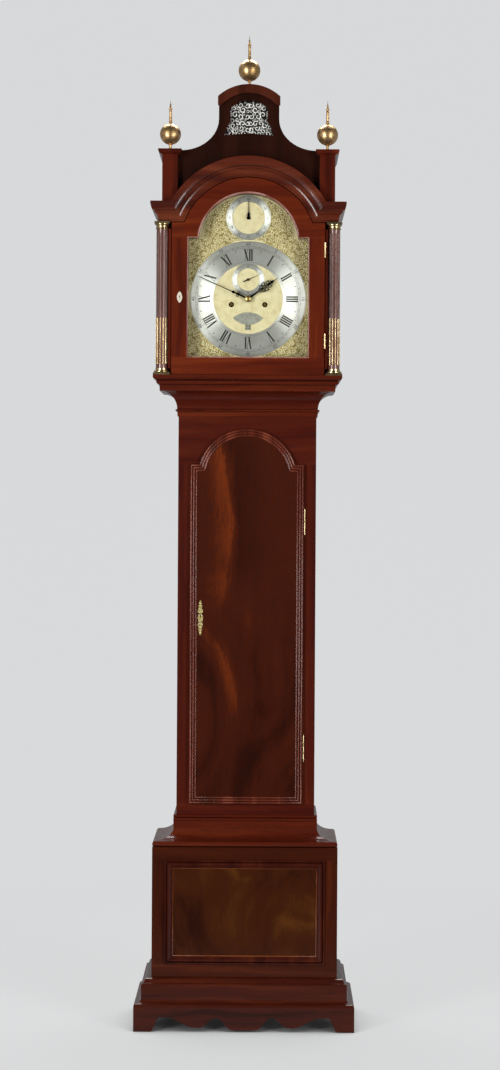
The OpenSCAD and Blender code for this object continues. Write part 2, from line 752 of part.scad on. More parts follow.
// The straight cornice is mitred into the arched one where both have run as far
// from their inner edges
module hood_cornice() {
    color(wood_red) {
        difference() {
            mitred(hood_w, yf, back_y, cornice_z, cornice_profile);
            board(0, -big, 0, hood_w + 2 * big, big + hood_y, 3 * big);
            board(0, hood_y - 1, 0, hood_w, big, 3 * big);
        }
        intersection() {
            mitred(hood_w, yf, hood_y, cornice_z, cornice_profile);
            arch_run(true);
        }
        intersection() {
            arch_run(false);
            rotate([90, 0, 90]) linear_extrude(big, center = true) polygon(concat(
                [for (p = cornice_profile) [yf - p[0], cornice_z + p[1]]],
                [[-big, cornice_top], [-big, 3 * big], [hood_y, 3 * big], [hood_y, cornice_z]]));
        }
    }
}
module arch_run(onwards) {
    q = cornice_h;
    translate([0, 0, arch_z]) rotate([90, 0, 0]) rotate_extrude($fn = 128) polygon(concat(
        [for (p = cornice_profile) [arch_r + p[1], p[0] - yf]],
        onwards ? [[arch_r + q, big], [big, big], [big, -hood_y]] : [[arch_r + q, -hood_y]],
        [[arch_r, -hood_y]]));
}

shaft_z = column_z + column_base_h;
shaft_h = cornice_from_base - column_base_h - capital_h;
module flute_ring(r, d, y, h) {
    for (i = [0 : flutes - 1]) rotate(i * 360 / flutes + 15) translate([r, 0, y]) cylinder(d = d, h = h, $fn = 16);
}
module hood_columns() {
    color(wood_dark) for (s = [-1, 1]) translate([s * column_x, column_y, shaft_z]) difference() {
        cylinder(d = column_d, h = shaft_h);
        flute_ring(column_d / 2, flute_d, 10, shaft_h - 20);
    }
}
module column_brasses() {
    r = column_d / 2;
    color(brass) for (s = [-1, 1]) translate([s * column_x, column_y, 0]) {
        board(0, -column_base_w / 2, column_z, column_base_w, column_base_w, 5);
        translate([0, 0, column_z]) rotate_extrude() polygon(concat([[0, 5], [r + 4, 5]],
            bead(r + 3, 2, 5, 11, 5), [[r + 1, 11.5], [r + 1, column_base_h], [0, column_base_h]]));
        translate([0, 0, cornice_z - capital_h]) rotate_extrude() polygon(concat([[0, 0], [r + 1, 0]],
            bead(r + 0.5, 1.5, 0.5, 4.5, 4), [[r + 0.5, 5], [r + 0.5, 9]],
            full([r + 0.5, 9], [r + 4, capital_h - 5], 4), [[0, capital_h - 5]]));
        board(0, -abacus_w / 2, cornice_z - 5, abacus_w, abacus_w, 5);
        flute_ring(r - flute_d * 0.1, flute_d * 0.75, shaft_z + 10 + face_gap, stringing_h);
    }
}

bell_x = block_x - block_w / 2;
sweep_w = bell_x - 7 - bell_neck;
sweep_z = cap_top + bell_sweep;
neck_z = sweep_z + bell_neck_h;
bell_arc_z = neck_z - sqrt(bell_r * bell_r - bell_neck * bell_neck);
bell_apex = bell_arc_z + bell_r;
bell_lip = 1.5;
function bell_half(i, low) = let (n = 12, e = asin((bell_neck - i) / (bell_r - i))) concat(
    [[bell_x - i, low]], i == 0 ? [[bell_x, cap_top]] : [],
    [for (k = [0 : n]) let (t = 90 * k / n)
        [min(bell_x - i, bell_neck + sweep_w - (sweep_w + i) * sin(t)), sweep_z - (bell_sweep + i) * cos(t)]],
    [for (k = [0 : 8]) let (t = e * (1 - k / 8)) [(bell_r - i) * sin(t), bell_arc_z + (bell_r - i) * cos(t)]]);
module bell_shape(i, low) {
    right = bell_half(i, low);
    n = len(right) - 1;
    polygon(concat(right, [for (k = [n - 1 : -1 : 0]) [-right[k][0], right[k][1]]]));
}
fret_z = cap_top + fret_rise;
fret_top_z = fret_z + fret_h;
fret_r = 62;
module fret_shape(i) {
    mid = fret_top - 2;
    half = concat([[0, fret_z + 5 + i], [fret_bottom * 0.5, fret_z + 3 + i], [fret_bottom - i * 1.5, fret_z + i],
        [fret_bottom - 6 - i, fret_z + 18], [mid - i, fret_z + 36], [fret_top - i, fret_top_z - 4],
        [fret_top - i, fret_top_z - i]],
        [for (k = [0 : 6]) let (t = 38 * (1 - k / 6)) [(fret_top - i) * sin(t) / sin(38) * 0.86,
            fret_top_z + 3 + 15 * (cos(t) - cos(38)) / (1 - cos(38)) - i]]);
    n = len(half) - 1;
    polygon(concat(half, [for (k = [n - 1 : -1 : 1]) [-half[k][0], half[k][1]]]));
}

module bell_top() {
    color(wood_dark) difference() {
        union() {
            plate_at(back_y, hood_d) bell_shape(0, cap_z);
            plate_at(hood_y, bell_rim_p) intersection() {
                difference() {
                    translate([0, bell_arc_z]) circle(bell_r + bell_lip, $fn = 96);
                    translate([0, bell_arc_z]) circle(bell_r - bell_rim, $fn = 96);
                }
                translate([-bell_neck - 2.5, neck_z - 22]) square([2 * bell_neck + 5, big]);
            }
        }
        plate_at(back_y - bell_t, hood_d - 2 * bell_t) bell_shape(bell_t, cap_z - 1);
        plate_at(hood_y + bell_t + 1, bell_t + 2) fret_shape(0);
        finial_hole(0, bell_finial_y, bell_apex);
    }
}

// Lace of rings in a rim, with the dark cloth behind it
module sound_fret() {
    step = 12;
    color("silver") plate_at(hood_y + bell_t + 2, 2) {
        difference() { fret_shape(-3); fret_shape(2); }
        intersection() {
            fret_shape(-1);
            for (i = [-6 : 6], j = [0 : 9]) translate([(i + (j % 2) / 2) * step, fret_z + j * 9.5])
                difference() { circle(6.9); circle(4.6); }
        }
    }
    color("black") plate_at(hood_y + bell_t + 3, 1) fret_shape(-3);
}

module finial_hole(x, y, z) { translate([x, y, z - 10.5]) cylinder(d = 6, h = 40); }
block_y = hood_y - 20;
finial_y = block_y + block_w / 2;
bell_finial_y = hood_y + 22;

module finial_blocks() {
    color(wood_dark) difference() {
        union() {
            for (s = [-1, 1]) {
                board(s * block_x, block_y, cornice_top, block_w, hood_y - block_y, block_h);
                intersection() {
                    translate([s * block_x, 0, 0]) mitred_all(block_w, block_y, back_y, cap_z);
                    board(s * block_x, -big, cap_z, block_w + 2 * cap_p, 2 * big, cap_h);
                }
            }
        }
        for (s = [-1, 1]) finial_hole(s * block_x, finial_y, cap_top);
        plate_at(back_y + 1, hood_d + 1) bell_shape(0, cap_z - 1);
        translate([0, hood_y, arch_z]) rotate([90, 0, 0]) cylinder(r = arch_r + cornice_h, h = big, $fn = 128);
    }
}
module mitred_all(w, front, back, z) {
    mitred(w, front, back, z, concat([[1, 0], [1, 3]], full([2, 3], [cap_p - 1, cap_h - 4], 4),
        [[cap_p, cap_h - 4], [cap_p, cap_h]]));
}

// Turned from one piece: peg, neck, ball, shaft and spire
module finial(d) {
    r = d / 2;
    n = finial_neck_h;
    h = n + d;
    rotate_extrude($fn = 64) polygon(concat(
        [[0, -10], [2.9, -10], [2.9, 0], [5.5, 0], [5, 2.5], [3.6, 4], [3.3, n - 2], [5, n - 1]],
        [for (i = [1 : 17]) let (t = 180 * i / 18) [r * sin(t), n + r - r * cos(t)]],
        [[4.6, h - 0.3], [4.3, h + 2], [3.7, h + 8], [3.3, h + spire_h * 0.52], [4, h + spire_h * 0.55]],
        [for (i = [0 : 6]) let (t = 20 + 140 * i / 6) [4.4 * sin(t), h + spire_h * 0.63 - 4.4 * cos(t)]],
        [[2.6, h + spire_h * 0.72], [1.4, h + spire_h * 0.76], [2.4, h + spire_h * 0.8],
        [1, h + spire_h * 0.85], [0.4, h + spire_h], [0, h + spire_h]]));
}
module finials() {
    color(brass) {
        for (s = [-1, 1]) translate([s * block_x, finial_y, cap_top]) finial(ball_d - 1);
        translate([0, bell_finial_y, bell_apex]) finial(ball_d + 1);
    }
}

dial_face = dial_y - dial_t;
dial_arch_z = sight_top - sight_drop + 2;
stud_r = 2;
post_d = 8;
module at_dial(z = 0) { translate([0, dial_z + z]) children(); }
module ring(d, w) { difference() { circle(d / 2, $fn = 96); circle(d / 2 - w, $fn = 96); } }
module dial_shape() {
    at_dial() square(dial_w, center = true);
    translate([0, dial_arch_z]) circle(sight_r + 3, $fn = 96);
}

module dial_plate() {
    color(brass) {
        plate_at(dial_y, dial_t) difference() {
            dial_shape();
            at_dial(-date_down) square(date_w, center = true);
            for (s = [-1, 1]) at_dial(-wind_down) translate([s * wind_x, 0]) circle(d = wind_d);
            at_dial() circle(5.5);
            at_dial(seconds_up) circle(2.5);
            at_dial(arch_ring_up) circle(stud_r + fit);
        }
        for (x = [-1, 1], z = [plate_up - 10, plate_up - plate_h + 12])
            translate([x * (plate_w / 2 - 8), 0, dial_z + z]) arbor(7, dial_y, front_plate_y);
        for (a = [45 : 90 : 315]) translate([83 * cos(a), 0, dial_z + 83 * sin(a)])
            arbor(3.5, dial_y, dial_y + 3.6);
    }
}
module chapter_ring() { color(silvered) plate_at(dial_face, chapter_t) at_dial() difference() {
    ring(chapter_d, chapter_w);
    at_dial_seconds();
} }
module at_dial_seconds() { translate([0, seconds_up]) circle(d = seconds_d + 1); }
module seconds_ring() { color(silvered) plate_at(dial_face, chapter_t) at_dial(seconds_up) ring(seconds_d, seconds_w); }
module arch_ring() { color(silvered) plate_at(dial_face, chapter_t) at_dial(arch_ring_up) ring(arch_ring_d, arch_ring_w); }
module name_plaque() {
    color(silvered) plate_at(dial_face, 1.2) at_dial(-48) intersection() {
        translate([0, 34]) circle(50);
        translate([0, -42]) circle(57);
    }
}

// Corner ornaments, cast in one piece each: a shell between scrolls
module spandrel() {
    circle(11);
    for (s = [0, 1]) rotate(s ? 45 : 0) mirror([s, 0]) rotate(s ? 45 : 0) {
        translate([16, 2]) difference() { circle(9); circle(3); }
        translate([32, -2]) difference() { circle(6.5); circle(2.5); }
        translate([45, -4]) circle(4);
        translate([0, -6]) square([46, 5]);
    }
}
module spandrels() {
    r = dial_w / 2 - 16;
    color(brass) plate_at(dial_face, 2.6) difference() {
        union() {
            for (i = [0 : 3]) at_dial() rotate(i * 90) translate([r, r]) rotate(180) spandrel();
            for (s = [0, 1]) mirror([s, 0]) translate([84, dial_z + arch_ring_up - 12]) {
                for (k = [0 : 3]) rotate(115 - k * 12) translate([14 * k - 12, 0]) difference() { circle(11 - k); circle(3.4); }
                rotate(100) translate([-16, -4]) square([44, 6]);
            }
        }
        at_dial() circle(d = chapter_d + 1, $fn = 96);
        at_dial(arch_ring_up) circle(d = arch_ring_d + 1, $fn = 96);
        difference() { square(4 * big, center = true); sight(-1); }
    }
}

// Ring of dates behind the plate, carried on its edge by four studs
module date_ring() {
    outer = 2 * 83 - 3.5 - 2 * fit * 2;
    color(silvered) plate_at(dial_y + 0.3 + 2, 2) at_dial() ring(outer, 21);
}

tip_r = 3.2;
minute_turn = 90 - show_minute * 6;
hour_turn = 90 - (show_hour + show_minute / 60) * 30;
second_turn = 90 - show_second * 6;
cannon_r = 3;
hour_pipe_r = 4.4;
minute_y = dial_face - 10.5;
hour_y = dial_face - 7.2;
second_y = dial_face - chapter_t - 1.2;

module minute_hand() {
    n = minute_len;
    color(steel) plate_at(minute_y, hand_t) at_dial() rotate(minute_turn) {
        difference() { circle(5.5); circle(cannon_r); }
        polygon([[4.6, -1.8], [n * 0.22, -2.4], [n * 0.3, -1.2], [n - 2, -0.7], [n, 0],
            [n - 2, 0.7], [n * 0.3, 1.2], [n * 0.22, 2.4], [4.6, 1.8]]);
        for (s = [-1, 1]) scroll(n * 0.2, s * 4.2, 3.1, 1.4);
        translate([n * 0.3, 0]) circle(3.6);
    }
    color(brass) translate([0, 0, dial_z]) difference() {
        arbor(2 * cannon_r + 2.4, minute_y - hand_t - 1.6, minute_y - hand_t);
        arbor(2 * cannon_r + 0.4, minute_y - hand_t - 3, minute_y);
    }
}
module scroll(x, y, r, hole) { translate([x, y]) difference() { circle(r); circle(hole); } }
module hour_hand() {
    n = hour_len;
    color(steel) plate_at(hour_y, hand_t) at_dial() rotate(hour_turn) {
        difference() { circle(8); circle(hour_pipe_r); }
        polygon([[7, -2.6], [n * 0.5, -1.4], [n * 0.72, -4.5], [n, 0], [n * 0.72, 4.5], [n * 0.5, 1.4], [7, 2.6]]);
        for (s = [-1, 1]) {
            scroll(n * 0.42, s * 6.1, 5.8, 3.3);
            scroll(n * 0.57, s * 6.6, 5.2, 2.7);
            scroll(n * 0.26, s * 4.4, 3.4, 1.4);
        }
    }
}
module seconds_hand() {
    color(steel) plate_at(second_y, 0.8) at_dial(seconds_up) rotate(second_turn) {
        difference() { circle(3.4); circle(0.9); }
        polygon([[-13, -1.6], [-2.6, -1.2], [-2.6, 1.2], [-13, 1.6]]);
        polygon([[2.6, -0.8], [seconds_len, -0.35], [seconds_len, 0.35], [2.6, 0.8]]);
    }
}
module arch_hand() {
    n = arch_hand_len;
    color(steel) {
        plate_at(dial_face - chapter_t - 0.8, hand_t) at_dial(arch_ring_up) difference() {
            union() {
                circle(4.6);
                polygon([[2.5, 0], [3.6, 9], [1, 14], [0.6, n], [-0.6, n], [-1, 14], [-3.6, 9], [-2.5, 0]]);
            }
            circle(stud_r);
        }
        translate([0, 0, dial_z + arch_ring_up]) {
            arbor(2 * stud_r, dial_face - chapter_t - hand_t - 1.4, dial_y + 6);
            arbor(7, dial_y + 0.3, dial_y + 2.5);
        }
    }
}

// Motion work: the cannon drives the minute wheel, its pinion the hour wheel
cannon_y = front_plate_y - 1.2;
cannon_m = 2 * motion_down / (2 * cannon_n);
hour_m = 2 * motion_down / (hour_n + hour_pinion_n);
minute_wheel_turn = mesh_turn(-90, minute_turn, cannon_n, cannon_n);
hour_wheel_turn = mesh_turn(90, minute_wheel_turn, hour_pinion_n, hour_n);
hour_wheel_y = cannon_y - 7;
module cannon_wheel() {
    color(brass) difference() {
        union() {
            plate_at(cannon_y, wheel_t) at_dial() rotate(minute_turn) wheel_shape(cannon_n, cannon_m);
            translate([0, 0, dial_z]) arbor(2 * cannon_r, minute_y - hand_t, cannon_y);
        }
        translate([0, 0, dial_z]) arbor(3 + 2 * fit, -big, big);
    }
}
module minute_wheel() {
    color(brass) difference() {
        translate([0, 0, -motion_down]) {
            plate_at(cannon_y, wheel_t) at_dial() rotate(minute_wheel_turn) wheel_shape(cannon_n, cannon_m);
            plate_at(cannon_y - wheel_t, 6.5) at_dial() rotate(minute_wheel_turn) pinion_shape(hour_pinion_n, hour_m);
        }
        translate([0, 0, dial_z - motion_down]) arbor(2.4 + 2 * fit, -big, big);
    }
}
module hour_wheel() {
    color(brass) difference() {
        union() {
            plate_at(hour_wheel_y, 1.4) at_dial() rotate(hour_wheel_turn) wheel_shape(hour_n, hour_m);
            translate([0, 0, dial_z]) arbor(2 * hour_pipe_r, hour_y - hand_t, hour_wheel_y);
        }
        translate([0, 0, dial_z]) arbor(2 * (cannon_r + fit), -big, big);
    }
}

// Plates, bored for every arbor
module plate_outline() { translate([-plate_w / 2, plate_z]) square([plate_w, plate_h]); }
module bore(x, z, d) { translate([x, z]) circle(d = d + 2 * fit); }
module arbor_bores(front) {
    for (s = [-1, 1]) bore(s * wind_x, wind_z, front ? 9 : arbor_d);
    bore(0, dial_z, front ? 3 : arbor_d);
    bore(third_x, third_z, 2);
    bore(0, escape_z, 2);
    bore(hammer_x, hammer_z, 3);
}
hammer_x = -62;
hammer_z = dial_z + 60;
module front_plate() {
    color(brass) {
        plate_at(front_plate_y + plate_t, plate_t) difference() {
            plate_outline();
            arbor_bores(true);
            bore(0, anchor_z, 2.4);
        }
        translate([0, 0, dial_z - motion_down]) arbor(2.4, cannon_y - wheel_t - 8, front_plate_y);
    }
}
module back_plate() {
    color(brass) {
        plate_at(back_plate_y + plate_t, plate_t) difference() {
            plate_outline();
            arbor_bores(false);
            bore(0, anchor_z, 12);
        }
        for (x = [-1, 1], z = [plate_z + 9, plate_z + plate_h - 9]) translate([x * (plate_w / 2 - 9), 0, z]) {
            arbor(post_d, front_plate_y + plate_t, back_plate_y);
            for (y = [front_plate_y + plate_t, back_plate_y - 3]) arbor(post_d + 4, y, y + 3);
        }
    }
}

// Cock that carries the pallet arbor and hangs the pendulum
module back_cock() {
    y = back_plate_y + plate_t;
    color(brass) difference() {
        union() {
            for (s = [-1, 1]) {
                board(s * 16, y, anchor_z - 4, 10, swing_y + 6 - y, 12);
                board(s * 20, y, anchor_z - 12, 18, 3, 28);
            }
            board(0, y + 9, anchor_z - 4, 42, 4, 12);
            board(0, swing_y - 6, anchor_z + 2, 42, 12, 6);
        }
        translate([0, y, anchor_z]) rotate([-90, 0, 0]) cylinder(d = 2.4 + 2 * fit, h = 16);
        board(0, swing_y - 0.6, anchor_z - 8, 15, 1.2, 40);
    }
}

// Drum with its ratchet wheel, arbor and winding square
module barrel(x) {
    y0 = drum_front;
    y1 = drum_front + drum_len;
    turns = floor((drum_len - 4) / (gut_d + 1));
    color(brass) translate([x, 0, wind_z]) difference() {
        union() { arbor(drum_d, y0, y1); arbor(drum_d + 5, y1 - 2, y1); }
        for (i = [1 : turns]) translate([0, y0 + i * (gut_d + 1), 0]) rotate([-90, 0, 0]) rotate_extrude()
            translate([pitch_r, 0]) circle(d = gut_d + 0.2, $fn = 16);
    }
    color(steel) translate([x, 0, wind_z]) {
        arbor(9, front_plate_y - 1, y0);
        arbor(9, y1, y1 + wheel_t + 3);
        arbor(arbor_d, y1, back_plate_y + plate_t + 1);
        intersection() {
            arbor(9, dial_face - 4, front_plate_y - 1);
            board(0, -big, -3, 6, 2 * big, 6);
        }
    }
}
great_y = drum_front - 0.4;
module great_wheel(x, y, turn) {
    color(brass) difference() {
        translate([x, 0, wind_z - dial_z]) plate_at(y, wheel_t + 1) at_dial() rotate(turn)
            wheel_shape(great_n, great_m);
        translate([x, 0, wind_z]) arbor(x > 0 ? 9 + 2 * fit : 9, -big, big);
    }
}
great_m = 2 * great_dist / (great_n + pinion_n);
centre_m = 2 * centre_dist / (centre_n + pinion_n);
third_m = 2 * third_dist / (third_n + escape_pinion_n);
great_dir = atan2(-wind_down, wind_x);
third_dir = atan2(third_z - dial_z, third_x);
escape_dir = atan2(escape_z - third_z, -third_x);
centre_pin_turn = mesh_turn(great_dir + 180, 0, great_n, pinion_n);
third_turn = mesh_turn(third_dir, centre_pin_turn, centre_n, pinion_n);
escape_turn = mesh_turn(escape_dir, third_turn, third_n, escape_pinion_n);
centre_wheel_y = back_plate_y - 3.5;
third_wheel_y = centre_wheel_y - 10.5;
escape_y = centre_wheel_y - 5.5;

module going_barrel() { barrel(wind_x); }
module going_great_wheel() { great_wheel(wind_x, great_y, 0); }
module strike_barrel() {
    barrel(-wind_x);
    great_wheel(-wind_x, drum_front + drum_len + wheel_t + 1.4, 0);
}
module centre_wheel() {
    color(brass) crossed_at(0, dial_z, centre_n, centre_m, centre_wheel_y, centre_pin_turn);
    color(steel) translate([0, 0, dial_z]) {
        arbor(3, minute_y - hand_t - 3, front_plate_y + plate_t + 1);
        arbor(5, front_plate_y + plate_t + 0.3, great_y - wheel_t - 3);
        arbor(arbor_d, great_y, back_plate_y + plate_t);
        arbor(6.5, minute_y - hand_t - 3.2, minute_y - hand_t - 1.7);
    }
    color(steel) plate_at(great_y + 1.5, wheel_t + 5) at_dial() rotate(centre_pin_turn) pinion_shape(pinion_n, great_m);
}
module crossed_at(x, z, n, m, y, turn) {
    translate([x, y, z]) rotate([0, -turn, 0]) crossed(n, m, 0, wheel_t, 4, 5);
}
module third_wheel() {
    color(brass) crossed_at(third_x, third_z, third_n, third_m, third_wheel_y, third_turn);
    color(steel) translate([third_x, 0, third_z]) {
        arbor(2, front_plate_y, back_plate_y + plate_t);
        arbor(3, front_plate_y + plate_t + 0.3, back_plate_y - 0.3);
    }
    color(steel) translate([third_x, 0, 0]) plate_at(centre_wheel_y + 1.5, wheel_t + 3)
        translate([0, third_z]) rotate(third_turn) pinion_shape(pinion_n, centre_m);
}
// Pointed teeth that lean back from the pallets
module escape_wheel() {
    r = 21;
    color(brass) translate([0, escape_y, escape_z]) rotate([0, -escape_turn, 0]) plate_at(0, 1.6) {
        difference() {
            polygon([for (i = [0 : escape_n - 1], s = [[r - 4, 0], [r, 3.4], [r, 4], [r - 4, 5.6]])
                let (a = (i + s[1] / 10) * 360 / escape_n) [s[0] * cos(a), s[0] * sin(a)]]);
            circle(r - 6);
        }
        circle(4);
        for (i = [0 : 3]) rotate(i * 90) translate([2, -1]) square([r - 7, 2]);
    }
    color(steel) translate([0, 0, escape_z]) {
        arbor(1.8, second_y - 1.6, front_plate_y);
        arbor(2, front_plate_y, back_plate_y + plate_t);
        arbor(3, front_plate_y + plate_t + 0.3, back_plate_y - 0.3);
    }
    color(steel) plate_at(third_wheel_y + 1.5, wheel_t + 3) translate([0, escape_z]) rotate(escape_turn)
        pinion_shape(escape_pinion_n, third_m);
}

// Anchor over the escape wheel; its crutch reaches back and down to the rod
module anchor() {
    drop = anchor_z - escape_z;
    crutch = 120;
    color(steel) {
        plate_at(escape_y - 0.2, 1.2) translate([0, anchor_z]) {
            circle(4);
            for (s = [-1, 1]) polygon([[0, 3.5], [s * 19.5, -4], [s * 22.5, -13.5], [s * 20.5, -12.5],
                [s * 17.5, -7], [0, -3]]);
        }
        translate([0, 0, anchor_z]) {
            arbor(2.4, front_plate_y, back_plate_y + plate_t + 13);
            arbor(4, front_plate_y + plate_t + 0.3, back_plate_y - 0.3);
            arbor(8, back_plate_y + plate_t + 3, back_plate_y + plate_t + 7);
        }
        board(0, back_plate_y + plate_t + 4, anchor_z - crutch, 3, 2, crutch - 3);
        difference() {
            board(0, back_plate_y + plate_t + 4, anchor_z - crutch - 3, 12, swing_y - back_plate_y + 6, 3);
            board(0, swing_y - rod_d / 2 - 0.3, anchor_z - crutch - 4, rod_d + 0.6, rod_d + 30, 6);
        }
    }
}

// Suspension spring, rod, bob and rating nut in one swinging piece
module pendulum() {
    nut = 12;
    color(steel) {
        board(0, swing_y - 0.3, anchor_z - 28, 10, 0.6, 37);
        board(0, swing_y - 2, anchor_z + 8 + 2 * face_gap, 12, 4, 3.5);
        translate([0, swing_y, anchor_z - 34]) mirror([0, 0, 1]) cylinder(d = rod_d, h = pendulum_len + bob_d / 2 + 26 - 34);
        board(0, swing_y - 3, anchor_z - 36, 8, 6, 10);
    }
    color(brass) translate([0, swing_y, bob_z]) {
        difference() {
            rotate([90, 0, 0]) rotate_extrude($fn = 96) polygon(concat(
                [[0, -bob_t / 2]], [for (i = [0 : 14]) let (t = -90 + 180 * i / 14)
                [bob_d / 2 * pow(cos(t), 0.75), bob_t / 2 * sin(t)]], [[0, bob_t / 2]]));
            translate([0, 0, -bob_d]) cylinder(d = rod_d, h = 2 * bob_d);
        }
        translate([0, 0, -bob_d / 2 - nut - 1]) difference() {
            cylinder(d = 16, h = nut);
            translate([0, 0, -1]) cylinder(d = rod_d, h = nut + 2);
        }
    }
}

bell_up = plate_z + plate_h + 16;
bell_y = back_plate_y - 26;
module bell_stand() {
    color("silver") translate([0, bell_y, bell_up]) rotate_extrude($fn = 64) difference() {
        polygon([[2, 34], [14, 34], [36, 26], [48, 6], [54, 0], [54, -2], [46, 3], [34, 23], [13, 31.5], [2, 31.5]]);
    }
    color(steel) {
        board(40, bell_y - 4, plate_z + plate_h, 8, back_plate_y + plate_t + 3 - bell_y + 4, 3);
        board(40, back_plate_y + plate_t, plate_z + plate_h - 22, 8, 3, 22);
        board(20, bell_y - 4, plate_z + plate_h, 48, 8, 3);
        translate([0, bell_y, plate_z + plate_h]) cylinder(d = 6, h = bell_up + 31.5 - plate_z - plate_h);
        translate([0, bell_y, bell_up + 31.5]) cylinder(d = 4, h = 6);
        translate([0, bell_y, bell_up + 34]) cylinder(d = 10, h = 4, $fn = 6);
    }
}
module hammer() {
    reach = bell_up + 4 - hammer_z;
    color(steel) {
        translate([hammer_x, 0, hammer_z]) {
            arbor(3, front_plate_y, back_plate_y + plate_t);
            arbor(5, front_plate_y + plate_t + 0.3, back_plate_y - 0.3);
        }
        board(hammer_x, bell_y - 1.5, hammer_z, 3, 3, reach);
        translate([hammer_x, bell_y, hammer_z + reach]) rotate([0, 90, 0]) cylinder(d = 9, h = 14, center = true);
    }
}

// Weight with its strap and hook, and the pulley that hangs in the line
module weight(x) {
    r = pulley_r + 4;
    top = pulley_low - r - 16;
    cheek = pulley_t / 2 + 0.4;
    color(brass) translate([x, drum_y, top - weight_h]) rotate_extrude($fn = 64) polygon(concat(
        [[0, 0], [weight_d / 2 - 2, 0], [weight_d / 2, 2]], [[weight_d / 2, weight_h - 5]],
        full([weight_d / 2 - 0.2, weight_h - 5], [weight_d / 2 - 0.1, weight_h - 4.8], 1),
        [[weight_d / 2 - 5, weight_h], [0, weight_h]]));
    color(steel) {
        for (s = [-1, 1]) board(x, drum_y + s * (cheek + 0.8) - 0.8, pulley_low - r - 6, 12, 1.6, r + 12);
        board(x, drum_y - cheek - 1.6, pulley_low - r - 8, 12, 2 * cheek + 3.2, 2);
        translate([x, drum_y, top]) cylinder(d = 6, h = pulley_low - r - 8 - top);
        translate([x, 0, pulley_low]) arbor(3, drum_y - cheek - 2.6, drum_y + cheek + 2.6);
    }
}
pulley_r = pitch_r;
module pulley(x) {
    color(brass) translate([x, drum_y, pulley_low]) rotate([90, 0, 0]) difference() {
        cylinder(r = pulley_r + 2, h = pulley_t, center = true);
        cylinder(d = 3 + 2 * fit, h = big, center = true);
        rotate_extrude() translate([pulley_r + 0.6, 0]) circle(d = gut_d + 2, $fn = 24);
        difference() {
            cylinder(r = pulley_r + 3, h = gut_d * 0.6, center = true);
            cylinder(r = pulley_r, h = big, center = true);
        }
    }
}
module line(x) {
    color("tan") {
        translate([x - pitch_r, drum_y, pulley_low]) cylinder(d = gut_d, h = wind_z - pulley_low, $fn = 16);
        translate([x + pitch_r, drum_y, pulley_low]) cylinder(d = gut_d, h = wind_z - pulley_low, $fn = 16);
        translate([x, drum_y, pulley_low]) rotate([-90, 0, 0]) rotate_extrude(angle = 180)
            translate([pulley_r, 0]) circle(d = gut_d, $fn = 16);
    }
}
module going_weight() { weight(wind_x); }
module strike_weight() { weight(-wind_x); }
module going_pulley() { pulley(wind_x); }
module strike_pulley() { pulley(-wind_x); }
module going_line() { line(wind_x); }
module strike_line() { line(-wind_x); }

// Hood door, hung on the right, and its fittings
module hood_door_room() {
    for (z = hood_hinges_z) {
        translate([hood_pin_x, hood_pin_y, z - 0.1]) cylinder(r = hood_knuckle_r + face_gap, h = hood_hinge_len + 0.2);
        board(hood_door_w / 2 - 0.6, hood_pin_y, z - 0.05, 1.3, 16.6, hood_hinge_len + 0.1);
    }
}
module hood_door() {
    color(wood_red) difference() {
        plate_at(hood_y - door_gap / 4, hood_door_t) arched(hood_door_w, column_z + door_gap / 2,
            cornice_z - door_gap, arch_r - door_gap, arch_z);
        plate_at(big, 2 * big) sight(0);
        plate_at(hood_y, 6) sight(-5);
        hood_door_room();
        translate([-hood_door_w / 2 + 20, hood_y - 11, dial_z]) rotate([90, 0, 0]) cylinder(d = 4, h = 40, center = true);
    }
}
module hood_glass() { color("lightcyan") plate_at(hood_y - 6 + glass_t, glass_t) sight(-5 + face_gap); }
module hood_hinges() {
    third = hood_hinge_len / 3;
    color(brass) for (z = hood_hinges_z) translate([0, 0, z]) {
        difference() {
            union() {
                translate([hood_pin_x, hood_pin_y, 0]) knuckles(hood_knuckle_r, 0.7, hood_hinge_len, false);
                for (k = [0, 2]) board(hood_pin_x + 1.5, hood_pin_y, k * third, 1.2, 10, third);
                board(hood_pin_x + 1.5, hood_pin_y + 3, 0, 1.2, 13.5, hood_hinge_len);
            }
            translate([hood_pin_x, hood_pin_y, -1]) cylinder(r = 0.7, h = hood_hinge_len + 2);
        }
        translate([hood_pin_x, hood_pin_y, 0]) cylinder(r = 0.8, h = hood_hinge_len);
    }
}
module hood_door_leaves() {
    third = hood_hinge_len / 3;
    color(brass) for (z = hood_hinges_z) translate([0, 0, z]) difference() {
        union() {
            translate([hood_pin_x, hood_pin_y, 0]) knuckles(hood_knuckle_r, 0.8 + fit, hood_hinge_len, true);
            board(hood_door_w / 2 + 0.1, hood_pin_y + 3, 0, 1.2 - 0.7, 13.5, hood_hinge_len);
            board(hood_pin_x - 1.5, hood_pin_y, third + 0.1, 1.2, 12, third - 0.2);
        }
        translate([hood_pin_x, hood_pin_y, -1]) cylinder(r = 0.8 + fit, h = hood_hinge_len + 2);
    }
}
module hood_lock() {
    x = -hood_door_w / 2 + 20;
    color(silvered) plate_at(hood_front, 1.2) translate([x, dial_z]) difference() {
        intersection() {
            translate([-12.5, 0]) circle(19);
            translate([12.5, 0]) circle(19);
        }
        translate([0, 2]) circle(1.5);
        translate([-0.7, -4]) square([1.4, 6]);
    }
}

